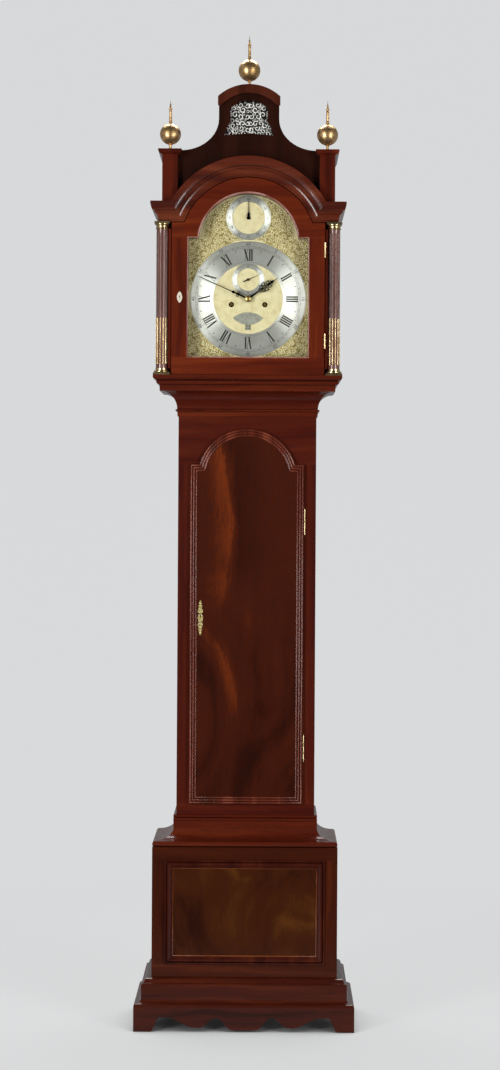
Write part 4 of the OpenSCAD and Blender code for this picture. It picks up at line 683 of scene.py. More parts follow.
def solid_from(name: str, bm: bmesh.types.BMesh) -> bpy.types.Object:
    """Finish a closed mesh: outward faces, and a new object that holds it.

    Args:
        name: the piece's name.
        bm: the mesh, which is freed.

    Returns:
        The new object.
    """
    bmesh.ops.recalc_face_normals(bm, faces=bm.faces)
    mesh = bpy.data.meshes.new(name)
    bm.to_mesh(mesh)
    bm.free()
    return link_new(name, mesh)


def cut_sheet(bm: bmesh.types.BMesh, outline: Outline, back: float, thick: float) -> None:
    """Add one flat shape that faces the front, as a thin closed solid.

    Args:
        bm: the mesh that takes it.
        outline: its (x, z) points in order.
        back: the y of its back face.
        thick: its thickness towards the front.
    """
    rear = [bm.verts.new((x, back, z)) for x, z in outline]
    front = [bm.verts.new((x, back - thick, z)) for x, z in outline]
    bm.faces.new(front)
    bm.faces.new(list(reversed(rear)))
    for i, j in joined(len(outline)):
        bm.faces.new((rear[i], rear[j], front[j], front[i]))


def ring_sheet(bm: bmesh.types.BMesh, centre: Flat, radius: float, width: float,
               back: float, thick: float, steps: int = 144) -> None:
    """Add one flat ring that faces the front.

    Args:
        bm: the mesh that takes it.
        centre: its middle in (x, z).
        radius: its outer radius.
        width: the breadth of its line.
        back: the y of its back face.
        thick: its thickness.
        steps: the number of its sides.
    """
    loops = []
    for y, r in ((back, radius), (back - thick, radius), (back - thick, radius - width),
                 (back, radius - width)):
        loops.append([bm.verts.new((centre[0] + r * math.sin(a), y, centre[1] + r * math.cos(a)))
                      for a in (TURN * i / steps for i in range(steps))])
    for k, after in joined(len(loops)):
        for i, j in joined(steps):
            bm.faces.new((loops[k][i], loops[k][j], loops[after][j], loops[after][i]))


def written(text: str, height: float) -> list[Outline]:
    """Turn a number to flat triangles, from the plain built-in letters.

    Args:
        text: the number.
        height: the height of its figures.

    Returns:
        Triangles in (x, z), centred on the number's middle.
    """
    figure_share = 0.69  # a figure's height as a share of the letters' nominal size
    data = bpy.data.curves.new("figures", "FONT")
    data.body = text
    data.size = height / figure_share
    data.resolution_u = 3
    temporary = link_new("figures", data)
    graph = bpy.context.evaluated_depsgraph_get()
    mesh = bpy.data.meshes.new_from_object(temporary.evaluated_get(graph))
    xs, ys = ([v.co[axis] for v in mesh.vertices] for axis in (0, 1))
    cx, cy = (min(xs) + max(xs)) / 2, (min(ys) + max(ys)) / 2
    mesh.calc_loop_triangles()
    shapes = [[(xs[i] - cx, ys[i] - cy) for i in t.vertices] for t in mesh.loop_triangles]
    bpy.data.objects.remove(temporary)
    bpy.data.meshes.remove(mesh)
    bpy.data.curves.remove(data)
    return shapes


def round_dial(shape: Outline, angle: float, radius: float, centre: Flat) -> Outline:
    """Carry a flat shape from its own place to a place round a dial.

    Args:
        shape: points as (across, outward).
        angle: clockwise from twelve, in radians.
        radius: the distance of the shape's own origin from the dial's middle.
        centre: the dial's middle in (x, z).

    Returns:
        The points in (x, z).
    """
    sin, cos = math.sin(angle), math.cos(angle)
    return [(centre[0] + (radius + v) * sin + u * cos, centre[1] + (radius + v) * cos - u * sin)
            for u, v in shape]


@dataclass(frozen=True)
class Mark:
    """One scroll's place, turn, flip and size."""

    x: float
    z: float
    turn: float
    flip: bool
    size: float

    def mirrored(self) -> "Mark":
        """Return the same scroll on the other side of the clock's middle line."""
        return Mark(-self.x, self.z, -self.turn, not self.flip, self.size)


def marked_points(name: str, marks: list[Mark], depth: float) -> bpy.types.Mesh:
    """Make the points that Scrolls reads.

    Args:
        name: the mesh's name.
        marks: the scrolls.
        depth: the y of their middle plane.

    Returns:
        A mesh of loose points with the attributes turn, flip and size.
    """
    mesh = wire(name, [(m.x, depth, m.z) for m in marks])
    for key, values in (("turn", [m.turn for m in marks]), ("flip", [math.pi * m.flip for m in marks]),
                        ("size", [m.size for m in marks])):
        mesh.attributes.new(key, "FLOAT", "POINT").data.foreach_set("value", values)
    return mesh


def scatter(inside: Callable[[float, float], bool], span: tuple[float, float, float, float],
            gap: float, seed: int) -> list[Mark]:
    """Scatter scrolls over an area so that they nearly touch.

    Args:
        inside: says whether a point is in the area.
        span: the area's low x, high x, low z and high z.
        gap: the least distance between two large scrolls.
        seed: fixes the draw.

    Returns:
        The scrolls, the large ones first.
    """
    draw = random.Random(seed)
    marks: list[Mark] = []
    for size, tries in ((1.0, 400), (0.62, 900), (0.4, 1300)):
        for _ in range(tries):
            x, z = draw.uniform(*span[:2]), draw.uniform(*span[2:])
            if inside(x, z) and all((x - m.x) ** 2 + (z - m.z) ** 2 > (gap * (m.size + size) / 2) ** 2
                                    for m in marks):
                marks.append(Mark(x, z, draw.uniform(0, TURN), draw.random() < 0.5,
                                  size * draw.uniform(0.85, 1.1)))
    return marks


# Geometry Nodes for what repeats

class NodeTree:
    """A Geometry Nodes tree that is built, run once and turned to a plain mesh."""

    def __init__(self, name: str, **sizes: str) -> None:
        """Start a tree with its geometry, a finish and the named sizes as inputs.

        Args:
            name: the tree's name.
            **sizes: each input's name, and its kind: Float, Int or Vector.
        """
        self.tree = bpy.data.node_groups.new(name, "GeometryNodeTree")
        sockets = self.tree.interface
        for way in ("INPUT", "OUTPUT"):
            sockets.new_socket("Geometry", in_out=way, socket_type="NodeSocketGeometry")
        self.ids = {key: sockets.new_socket(key, in_out="INPUT", socket_type="NodeSocket" + kind).identifier
                    for key, kind in {"Finish": "Material", **sizes}.items()}
        self.entry = self.tree.nodes.new("NodeGroupInput").outputs
        self.exit = self.tree.nodes.new("NodeGroupOutput").inputs

    def add(self, kind: str, inputs: dict | None = None, **settings: object) -> Node:
        """Add a node to this tree; kinds without a prefix are geometry nodes."""
        return put(self.tree, kind if "Node" in kind else "GeometryNode" + kind, inputs, **settings)

    def close(self, shape: Node) -> None:
        """End the tree: instances become real, and the finish is set."""
        real = self.add("RealizeInstances", {0: shape})
        done = self.add("SetMaterial", {"Geometry": real, "Material": self.entry["Finish"]})
        self.tree.links.new(done.outputs[0], self.exit[0])

    def run(self, name: str, values: dict[str, object],
            base: bpy.types.Mesh | None = None) -> bpy.types.Object:
        """Run the tree and keep its result as a plain mesh.

        Args:
            name: the new piece's name.
            values: each input's name and value.
            base: the mesh that the tree starts from, where it has one; its result is shaded smooth.

        Returns:
            An object with no modifier, at the origin.
        """
        host = link_new(name + "_host", base or bpy.data.meshes.new(name + "_host"))
        modifier = host.modifiers.new("repeat", "NODES")
        modifier.node_group = self.tree
        for key, value in values.items():
            modifier[self.ids[key]] = value
        bpy.context.view_layer.update()
        graph = bpy.context.evaluated_depsgraph_get()
        mesh = bpy.data.meshes.new_from_object(host.evaluated_get(graph))
        host.modifiers.remove(modifier)
        bpy.data.objects.remove(host)
        mesh.name = name
        for face in mesh.polygons:
            face.use_smooth = base is not None
        return link_new(name, mesh)


class MarksRound(NodeTree):
    """Equal bars that stand round a circle, such as the minutes of a dial."""

    def __init__(self) -> None:
        """Build the tree: a ring of points, a bar on each, then turned to face the front."""
        super().__init__("marks_round_a_circle", Count="Int", Radius="Float", Bar="Vector", Middle="Vector")
        ask = self.entry
        ring = self.add("MeshCircle", {"Vertices": ask["Count"], "Radius": ask["Radius"]})
        bar = self.add("MeshCube", {"Size": ask["Bar"]})
        step = self.add("ShaderNodeMath", {0: TURN, 1: ask["Count"]}, operation="DIVIDE")
        turn = self.add("ShaderNodeMath", {0: self.add("InputIndex"), 1: step}, operation="MULTIPLY")
        spin = self.add("ShaderNodeCombineXYZ", {2: turn})
        placed = self.add("InstanceOnPoints", {"Points": ring, "Instance": bar, "Rotation": spin})
        self.close(self.add("Transform", {"Geometry": placed, "Translation": ask["Middle"],
                                          "Rotation": (math.radians(90), 0, 0)}))


class StudsOn(NodeTree):
    """One low dome on each point of a base mesh, such as the collet of the hands."""

    def __init__(self) -> None:
        """Build the tree: a ball flattened from front to back, on every point."""
        super().__init__("studs_on_points", Radius="Float", Rise="Float", Sides="Int")
        ask = self.entry
        ball = self.add("MeshUVSphere", {"Segments": ask["Sides"], "Rings": 6, "Radius": ask["Radius"]})
        flat = self.add("ShaderNodeMath", {0: ask["Rise"], 1: ask["Radius"]}, operation="DIVIDE")
        size = self.add("ShaderNodeCombineXYZ", {0: 1.0, 1: flat, 2: 1.0})
        low = self.add("Transform", {"Geometry": ball, "Scale": size})
        self.close(self.add("InstanceOnPoints", {"Points": ask["Geometry"], "Instance": low}))


class Scrolls(NodeTree):
    """Cast scrolls on marked points: each mark has a turn, a flip and a size of its own."""

    def __init__(self) -> None:
        """Build the tree: a tapering spiral bar, laid flat to the front on every point."""
        super().__init__("scrolls_on_points", Turns="Float", Heart="Float", Reach="Float", Bar="Float",
                         Rise="Float")
        ask = self.entry
        spiral = self.add("CurveSpiral", {"Resolution": 13, "Rotations": ask["Turns"],
                                          "Start Radius": ask["Heart"], "End Radius": ask["Reach"],
                                          "Height": 0.0})
        along = self.add("SplineParameter").outputs["Factor"]
        swell = self.add("ShaderNodeMapRange", {"Value": along, "From Min": 0.0, "From Max": 0.75,
                                                "To Min": 1.25, "To Max": 0.6})
        tapered = self.add("SetCurveRadius", {"Curve": spiral, "Radius": swell})
        section = self.add("CurvePrimitiveCircle", {"Resolution": 6, "Radius": ask["Bar"]})
        bar = self.add("CurveToMesh", {"Curve": tapered, "Profile Curve": section, "Fill Caps": True})
        flat = self.add("ShaderNodeCombineXYZ", {0: 1.0, 1: 1.0, 2: ask["Rise"]})
        laid = self.add("Transform", {"Geometry": bar, "Scale": flat})
        upright = self.add("Transform", {"Geometry": laid, "Rotation": (math.radians(90), 0, 0)})
        turn, flip, size = (self.add("InputNamedAttribute", {"Name": name}, data_type="FLOAT")
                            for name in ("turn", "flip", "size"))
        spin = self.add("ShaderNodeCombineXYZ", {1: turn, 2: flip})
        self.close(self.add("InstanceOnPoints", {"Points": ask["Geometry"], "Instance": upright,
                                                 "Rotation": spin, "Scale": size}))


class BeadAlong(NodeTree):
    """A round bead that follows a line of points, such as the moulding round a glass."""

    def __init__(self) -> None:
        """Build the tree: the base mesh's edges become a line, and a circle runs along it."""
        super().__init__("bead_along_a_line", Bead="Float")
        line = self.add("MeshToCurve", {"Mesh": self.entry["Geometry"]})
        section = self.add("CurvePrimitiveCircle", {"Resolution": 12, "Radius": self.entry["Bead"]})
        self.close(self.add("CurveToMesh", {"Curve": line, "Profile Curve": section, "Fill Caps": True}))


@dataclass
class SubAssembly:
    """What every part of the clock shares: the palette, and the last steps of each piece."""

    palette: Palette

    def keep(self, piece: bpy.types.Object, finish: str, body: str, slot: str, node: str = "") -> None:
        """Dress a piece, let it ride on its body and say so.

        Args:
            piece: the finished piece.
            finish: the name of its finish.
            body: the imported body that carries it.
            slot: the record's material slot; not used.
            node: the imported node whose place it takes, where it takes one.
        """
        self.palette.dress(piece, finish)
        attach(piece, body)
        if node:
            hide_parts(node)
        LOG.info("%s rides on %s", piece.name, body)

    def bead(self, name: str, finish: str, radius: float, line: bpy.types.Mesh) -> bpy.types.Object:
        """Run a round bead along the edges of a mesh.

        Args:
            name: the new piece's name.
            finish: the name of its finish.
            radius: the bead's radius.
            line: the bare points and edges that it follows.

        Returns:
            The bead, not yet dressed.
        """
        return BeadAlong().run(name, {"Finish": self.palette.get(finish), "Bead": radius}, line)


# The dial

@dataclass(frozen=True)
class Circle:
    """A flat circle of the dial: its middle in (x, z), the y of its face and its outer radius."""

    centre: Flat
    face: float
    out: float

    @staticmethod
    def of(node: str) -> "Circle":
        """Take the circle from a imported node."""
        return Circle((0.0, middle(node).z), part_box(node)[0].y, half_width(node))


@dataclass(frozen=True)
class SmallCircle:
    """What is engraved on one of the two small circles."""

    name: str
    node: str
    deep: float
    figures: int
    high: float
    inset: float


SMALL_CIRCLES = (
    SmallCircle("seconds_marks", "seconds_ring", 12.0 * MM, 6, 4.4 * MM, 6.8 * MM),
    SmallCircle("arch_marks", "arch_ring", 15.5 * MM, 12, 5.6 * MM, 8.6 * MM),
)


@dataclass
class Dial(SubAssembly):
    """What is engraved on the circles of the dial and cast on its corners, and the hour hand."""

    wax: float = 0.12 * MM
    numeral_in: float = 94.5 * MM
    numeral_high: float = 29.0 * MM
    stem: float = 0.125
    hair: float = 0.034
    serif: float = 0.045
    lean: float = 0.14
    cross: float = 1.1
    letter_wide: tuple[tuple[str, float], ...] = (("I", 0.185), ("V", 0.40), ("X", 0.42))
    track_out: float = 130.5 * MM
    track_wide: float = 4.0 * MM
    minute_wide: float = 0.55 * MM
    line_wide: float = 0.45 * MM
    border_in: float = 92.0 * MM
    border_out: float = 142.0 * MM
    figure_at: float = 136.3 * MM
    figure_high: float = 7.6 * MM
    half_hour_at: float = 121 * MM
    half_hour_long: float = 4 * MM
    half_hour_wide: float = 0.8 * MM
    small_margin: float = 1.0 * MM
    small_line: float = 0.35 * MM
    small_track: float = 2.4 * MM
    small_wide: float = 0.4 * MM
    small_inner: float = 1.2 * MM
    date_at: float = 70 * MM
    date_high: float = 9.0 * MM
    day_shown: int = 22
    edge: float = 4.5 * MM
    plate_clear: float = 1.5 * MM
    scroll_gap: float = 9.8 * MM
    scroll_clear: float = 3 * MM
    scroll_x: float = 90 * MM
    scroll_up: float = 1.5 * MM
    ground_thick: float = 0.8 * MM
    ground_from: float = math.radians(14)
    arch_hub_up: float = 133 * MM
    crown_reach: float = 121 * MM
    crown_half: float = 110 * MM
    crown_foot: float = 30 * MM
    crown_top: float = math.radians(70)
    crown_round: Flat = (math.radians(56), math.radians(-77))
    crown_tail: Flat = (math.radians(84), math.radians(60))
    crown_clear: float = 3.5 * MM
    crown_middle: float = 4 * MM
    crown_rim: float = 2 * MM
    wind_x: float = 41.5 * MM
    wind_down: float = 14 * MM
    wind_r: float = 6.5 * MM
    wind_wide: float = 2.6 * MM
    wind_thick: float = 0.8 * MM
    hand_hour: float = 1 + 49 / 60
    boss_r: float = 8 * MM
    boss_wide: float = 3.2 * MM
    cap_r: float = 7.8 * MM
    cap_rise: float = 2.6 * MM
    cap_under: float = 0.5 * MM

    def __post_init__(self) -> None:
        """Take the dial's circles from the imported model."""
        self.chapter = Circle.of("chapter_ring")
        self.arch = Circle.of("arch_ring")
        self.marks = MarksRound()

    def engrave(self, bm: bmesh.types.BMesh, shapes: list[Outline], angle: float, radius: float,
                circle: Circle) -> None:
        """Fill flat shapes with wax at one place round a circle.

        Args:
            bm: the mesh that takes them.
            shapes: their points as (across, outward).
            angle: clockwise from twelve.
            radius: the distance from the circle's middle.
            circle: the circle that carries them.
        """
        for shape in shapes:
            cut_sheet(bm, round_dial(shape, angle, radius, circle.centre), circle.face, self.wax)

    def track(self, name: str, circle: Circle, radius: float, bar: Flat) -> None:
        """Mark sixty bars round a circle.

        Args:
            name: the new piece's name.
            circle: the circle that carries them.
            radius: the distance of their middles.
            bar: the length and breadth of one.
        """
        bars = self.marks.run(name, {
            "Finish": self.palette.get("wax"), "Count": 60, "Radius": radius, "Bar": (*bar, self.wax),
            "Middle": (0, circle.face - self.wax / 2, circle.centre[1])})
        self.keep(bars, "wax", "case", "silvered_brass")

    def roman(self, letters: str) -> list[Outline]:
        """Draw one Roman number with thick and thin strokes and small serifs.

        Args:
            letters: any of I, V and X.

        Returns:
            Shapes as (across, outward) in shares of the number's height.
        """
        shapes: list[Outline] = []

        def line(top: float, foot: float, wide: float) -> None:
            """Add one stroke between the two ends of the number, with a serif at each."""
            half = wide / 2
            shapes.append([(top - half, 1), (top + half, 1), (foot + half, 0), (foot - half, 0)])
            half += self.serif
            for x, low in ((top, 1 - self.hair), (foot, 0.0)):
                high = low + self.hair
                shapes.append([(x - half, low), (x + half, low), (x + half, high), (x - half, high)])

        wide = dict(self.letter_wide)
        at = -sum(wide[c] for c in letters) / 2
        for letter in letters:
            mid = at + wide[letter] / 2
            if letter == "I":
                line(mid, mid, self.stem)
            elif letter == "V":
                line(mid - self.lean, mid, self.stem)
                line(mid + self.lean, mid, self.hair)
            else:
                line(mid - self.lean, mid + self.lean, self.stem * self.cross)
                line(mid + self.lean, mid - self.lean, self.hair)
            at += wide[letter]
        return shapes

    def hours(self) -> None:
        """Fill the twelve hour numbers, the minute circle and its figures with black wax."""
        bm = bmesh.new()
        names = ("XII", "I", "II", "III", "IIII", "V", "VI", "VII", "VIII", "IX", "X", "XI")
        high = self.numeral_high
        for i, letters in enumerate(names):
            grown = [[(u * high, v * high) for u, v in shape] for shape in self.roman(letters)]
            self.engrave(bm, grown, TURN * i / 12, self.numeral_in, self.chapter)
        for radius in (self.track_out, self.track_out - self.track_wide, self.border_in, self.border_out):
            ring_sheet(bm, self.chapter.centre, radius, self.line_wide, self.chapter.face, self.wax)
        long, wide = self.half_hour_long, self.half_hour_wide
        lozenge = [(0, long), (wide, 0), (0, -long), (-wide, 0)]
        for i in range(12):
            self.engrave(bm, written(str(5 * i or 60), self.figure_high), TURN * i / 12, self.figure_at,
                         self.chapter)
            self.engrave(bm, [lozenge], TURN * (i + 0.5) / 12, self.half_hour_at, self.chapter)
        self.keep(solid_from("hour_numbers", bm), "wax", "case", "silvered_brass")
        self.track("minute_marks", self.chapter, self.track_out - self.track_wide / 2,
                   (self.track_wide, self.minute_wide))

    def small_circles(self) -> None:
        """Mark the seconds circle and the circle in the arch."""
        for small in SMALL_CIRCLES:
            circle = Circle.of(small.node)
            out = circle.out - self.small_margin
            bm = bmesh.new()
            for radius in (out, out - self.small_track, circle.out - small.deep + self.small_inner):
                ring_sheet(bm, circle.centre, radius, self.small_line, circle.face, self.wax, 96)
            for i in range(small.figures):
                figure = written(str(60 // small.figures * i or 60), small.high)
                self.engrave(bm, figure, TURN * i / small.figures, circle.out - small.inset, circle)
            self.keep(solid_from(small.name + "_lines", bm), "wax", "case", "silvered_brass")
            self.track(small.name, circle, out - self.small_track / 2, (self.small_track, self.small_wide))

    def date(self) -> None:
        """Number the date ring, so that one day shows in its window."""
        ring = Circle(self.chapter.centre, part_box("date_ring")[0].y, self.date_at)
        bm = bmesh.new()
        for day in range(1, 32):
            flipped = [[(-u, -v) for u, v in shape] for shape in written(str(day), self.date_high)]
            self.engrave(bm, flipped, math.pi + (day - self.day_shown) * TURN / 31, ring.out, ring)
        self.keep(solid_from("date_numbers", bm), "wax", "date_ring", "silvered_brass")

    def crown_outline(self, top: float, hub: float) -> Outline:
        """Outline the ground of the right casting in the arch.

        Args:
            top: the z of the dial square's top edge.
            hub: the z of the arch's own centre.

        Returns:
            Points up the outer curve, down round the arch circle and back along the hour circle.
        """
        reach = self.crown_reach
        first = math.atan2(math.sqrt(reach ** 2 - self.crown_half ** 2), self.crown_half)
        outer = bow((0.0, hub), reach, spread(first, self.crown_top, 14))
        inner = bow(self.arch.centre, self.arch.out + self.plate_clear, spread(*self.crown_round, 20))
        tail = bow(self.chapter.centre, self.chapter.out + self.plate_clear, spread(*self.crown_tail, 6))
        tail = [(x, z) for x, z in tail if z > top and x > inner[-1][0]]
        return [(self.crown_half, top)] + outer + inner + tail + [(self.crown_half - self.crown_foot, top)]

    def corner_outline(self, half: float, x_sign: int, z_sign: int) -> Outline:
        """Outline the ground of one corner casting.

        Args:
            half: half the breadth of the dial square, inside its edge.
            x_sign: 1 for a right corner, -1 for a left one.
            z_sign: 1 for an upper corner, -1 for a lower one.

        Returns:
            Points along the hour circle and back round the square's corner.
        """
        ring, start = self.chapter.out + self.plate_clear, self.ground_from
        outline = bow((0.0, 0.0), ring, spread(start, math.pi / 2 - start, 24))
        outline += [(ring * math.sin(start), half), (half, half), (half, ring * math.sin(start))]
        return [(x_sign * x, self.chapter.centre[1] + z_sign * z) for x, z in outline]

    def castings(self) -> None:
        """Cast the four corner pieces and the two in the arch as pale scrollwork, a painted highlight, on
        thin plates darkened as painted shade.
        """
        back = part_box("spandrels")[1].y
        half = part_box("dial_plate")[1].x - self.edge
        hub = self.chapter.centre[1]
        top, arch_hub = hub + half, hub + self.arch_hub_up
        ring = self.chapter.out + self.plate_clear + self.scroll_clear
        corners = [(x_sign, z_sign) for x_sign in (1, -1) for z_sign in (1, -1)]

        def corner(x: float, z: float) -> bool:
            """Say whether a point lies between the hour circle and a corner, under the diagonal."""
            return x <= half and z <= half and beyond(x, z, 0.0, ring) and z <= x

        def crown(x: float, z: float) -> bool:
            """Say whether a point lies in the arch, beside its circle."""
            return (beyond(x, z, self.arch.centre[1], self.arch.out + self.crown_clear)
                    and beyond(x, z, hub, ring) and not beyond(x, z, arch_hub, self.crown_reach)
                    and self.crown_middle < x < self.crown_half and z > top + self.crown_rim)

        marks: list[Mark] = []
        first = scatter(corner, (self.scroll_x, half, 0.0, half), self.scroll_gap, 7)
        for x_sign, z_sign in corners:
            for m in first:
                for u, w, flip in ((m.x, m.z, m.flip), (m.z, m.x, not m.flip)):
                    marks.append(Mark(x_sign * u, hub + z_sign * w,
                                      m.turn if x_sign * z_sign > 0 else -m.turn,
                                      flip if x_sign > 0 else not flip, m.size))
        span = (0.0, self.crown_half, top, arch_hub + self.crown_reach)
        for m in scatter(crown, span, self.scroll_gap, 11):
            marks += [m, m.mirrored()]
        relief_lit = Scrolls().run("spandrel_scrolls", {
            "Finish": self.palette.get("relief_lit"), "Turns": 1.25, "Heart": 1.2 * MM, "Reach": 5.8 * MM,
            "Bar": 1.15 * MM, "Rise": 1.2}, marked_points("spandrel_points", marks, back - self.scroll_up))
        self.keep(relief_lit, "relief_lit", "case", "gilt_brass", "spandrels")
        # The plates behind the scrolls are darker gilt: painted shade between them.
        bm = bmesh.new()
        for x_sign, z_sign in corners:
            cut_sheet(bm, self.corner_outline(half, x_sign, z_sign), back, self.ground_thick)
        for x_sign in (1, -1):
            lobe = [(x_sign * x, z) for x, z in self.crown_outline(top, arch_hub)]
            cut_sheet(bm, lobe, back, self.ground_thick)
        self.keep(solid_from("spandrel_shade_plates", bm), "relief_shade", "case", "gilt_brass", "spandrels")
        LOG.info("%d cast scrolls fill the spandrels", len(marks))

    def winding(self) -> None:
        """Line the two winding holes with dark collets."""
        bm = bmesh.new()
        for side in (-1, 1):
            ring_sheet(bm, (side * self.wind_x, self.chapter.centre[1] - self.wind_down), self.wind_r,
                       self.wind_wide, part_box("dial_plate")[0].y, self.wind_thick, 32)
        self.keep(solid_from("winding_collets", bm), "blued", "case", "blued_steel")

    def hour_hand(self) -> None:
        """Saw and pierce the hour hand: a slim arm, a nest of scrolls and a fine point."""
        low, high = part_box("hour_hand")
        back, thick = high.y, high.y - low.y
        turn = TURN / 12 * self.hand_hour
        sides = (-1, 1)
        arm = ((6.5, 2.9), (20, 2.0), (38, 1.1), (70, 0.9))
        point = ((60, 1.2), (73, 3.4), (79, 1.0), (88, 0.3))
        rings = ((43, 5.2, 4.6, 1.8), (51, 7.4, 4.9, 2.0), (56, 2.9, 3.0, 1.3),
                 (62, 5.2, 4.3, 1.7), (36, 2.9, 2.9, 1.3), (69, 2.9, 2.6, 1.1))
        leaves = ((55, 11.6), (45, 9.3), (66, 8.8))
        leaf = ((-2.2, -2.5), (0.4, 2.2), (2.2, -2.0))

        def spot(along: float, across: float) -> Flat:
            """Return a point of the hand, from its distance along and across in millimetres."""
            return (MM * (along * math.sin(turn) + across * math.cos(turn)),
                    self.chapter.centre[1] + MM * (along * math.cos(turn) - across * math.sin(turn)))

        bm = bmesh.new()
        for half in (arm, point):
            outline = [spot(a, w) for a, w in half] + [spot(a, -w) for a, w in reversed(half)]
            cut_sheet(bm, outline, back, thick)
        for along, across, radius, wall in rings:
            for side in sides:
                ring_sheet(bm, spot(along, side * across), radius * MM, wall * MM, back, thick, 20)
        ring_sheet(bm, self.chapter.centre, self.boss_r, self.boss_wide, back, thick, 48)
        for along, across in leaves:
            for side in sides:
                cut_sheet(bm, [spot(along + a, side * (across + w)) for a, w in leaf], back, thick)
        self.keep(solid_from("pierced_hour_hand", bm), "blued", "hour", "blued_steel", "hour_hand")

    def collet(self) -> None:
        """Put the domed brass collet on the middle of the hands."""
        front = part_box("minute_hand")[0].y
        point = wire("collet_point", [(0.0, front + self.cap_under, self.chapter.centre[1])])
        dome = StudsOn().run("hand_collet", {"Finish": self.palette.get("gilt"), "Radius": self.cap_r,
                                             "Rise": self.cap_rise, "Sides": 40}, point)
        self.keep(dome, "gilt", "minute", "polished_brass")

    def build(self) -> None:
        """Make everything on the dial."""
        self.hours()
        self.small_circles()
        self.date()
        self.castings()
        self.winding()
        self.hour_hand()
        self.collet()


# The case, the hood and the doors

@dataclass
class BaseVeneer(SubAssembly):
    """The figured sheet inside the raised moulding of the base, and the fine bead round it, painted lighter
    as a highlight line.
    """

    thick: float = 0.6 * MM
    moulding_wide: float = 19.5 * MM
    bead_r: float = 1.6 * MM
    bead_up: float = 1.0 * MM
    bead_in: float = 0.9 * MM

    def build(self) -> None:
        """Lay the sheet with its edges under the moulding, and run the bead inside them, painted lighter as
        a highlight line.
        """
        low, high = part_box("base_panel_moulding")

        def frame_line(inset: float) -> Outline:
            """Return the corners of a frame drawn in from the moulding's outer edge."""
            half, foot, top = high.x - inset, low.z + inset, high.z - inset
            return [(-half, foot), (half, foot), (half, top), (-half, top)]

        bm = bmesh.new()
        cut_sheet(bm, frame_line(self.moulding_wide), high.y, self.thick)
        self.keep(solid_from("base_panel_veneer", bm), "panel", "case", "mahogany_figured")
        y = high.y - self.bead_up
        line = [(x, y, z) for x, z in frame_line(self.moulding_wide + self.bead_in)]
        # The bead's lighter finish is a painted highlight line.
        made = self.bead("base_panel_bead", "worn", self.bead_r, wire("base_panel_line", line, joined(4)))
        self.keep(made, "worn", "case", "mahogany_figured")


@dataclass
class HoodVeneer(SubAssembly):
    """The upright veneer between the finial blocks, over the arch, in the bell top's dark tone: partly the
    wood's own, partly painted shade on the set-back board.
    """

    thick: float = 0.5 * MM
    rim: float = 9 * MM
    block_in: float = 48 * MM
    arch_hub: float = 1927 * MM
    arch_out: float = 216.5 * MM

    def build(self) -> None:
        """Lay the sheet on the hood's front board, its lower edge under the arched cornice."""
        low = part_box("bell_top")[0]
        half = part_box("finial_blocks")[1].x - self.block_in
        foot = math.acos(half / self.arch_out)
        curve = bow((0.0, self.arch_hub), self.arch_out, spread(foot, math.pi - foot, 40))
        bm = bmesh.new()
        cut_sheet(bm, [(-half, low.z), (half, low.z)] + curve, low.y + self.rim, self.thick)
        self.keep(solid_from("hood_top_veneer", bm), "bell", "hood", "mahogany_dark")


@dataclass
class SoundFret(SubAssembly):
    """The pierced silvered panel of the bell top, and the cloth behind it."""

    top_half: float = 47 * MM
    foot_half: float = 61.5 * MM
    side_top: float = 2269 * MM
    crown_rise: float = 17 * MM
    foot_rise: float = 6 * MM
    rim: float = 2.4 * MM
    scroll_gap: float = 11.8 * MM
    scroll_deep: float = 1.0 * MM
    cloth_thick: float = 1.2 * MM

    def crown(self, x: float) -> float:
        """Return the height of the panel's bowed top edge."""
        return self.side_top + self.crown_rise * (1 - (x / self.top_half) ** 2)

    def build(self) -> None:
        """Lay mirrored scrolls in front of the cloth."""
        low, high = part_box("sound_fret")

        def inside(x: float, z: float) -> bool:
            """Say whether a point lies in the right half of the panel, inside its rim."""
            up = (z - low.z) / (self.side_top - low.z)
            half = self.foot_half + (self.top_half - self.foot_half) * up - self.rim
            foot = low.z + self.foot_rise * (1 - (x / self.foot_half) ** 2) + self.rim
            return self.rim < x < half and foot < z < self.crown(x) - self.rim

        marks = []
        for m in scatter(inside, (0.0, self.foot_half, low.z, high.z), self.scroll_gap, 9):
            marks += [m, m.mirrored()]
        lace = Scrolls().run("fret_scrolls", {
            "Finish": self.palette.get("fret"), "Turns": 1.0, "Heart": 2.0 * MM, "Reach": 7.0 * MM,
            "Bar": 1.1 * MM, "Rise": 0.6}, marked_points("fret_points", marks, low.y + self.scroll_deep))
        self.keep(lace, "fret", "hood", "fret_silver", "sound_fret")
        bm = bmesh.new()
        top = [(x, self.crown(x)) for x in spread(self.top_half, -self.top_half, 16)]
        cut_sheet(bm, [(-self.foot_half, low.z), (self.foot_half, low.z)] + top, high.y, self.cloth_thick)
        self.keep(solid_from("fret_cloth", bm), "cloth", "hood", "fret_silver", "sound_fret")


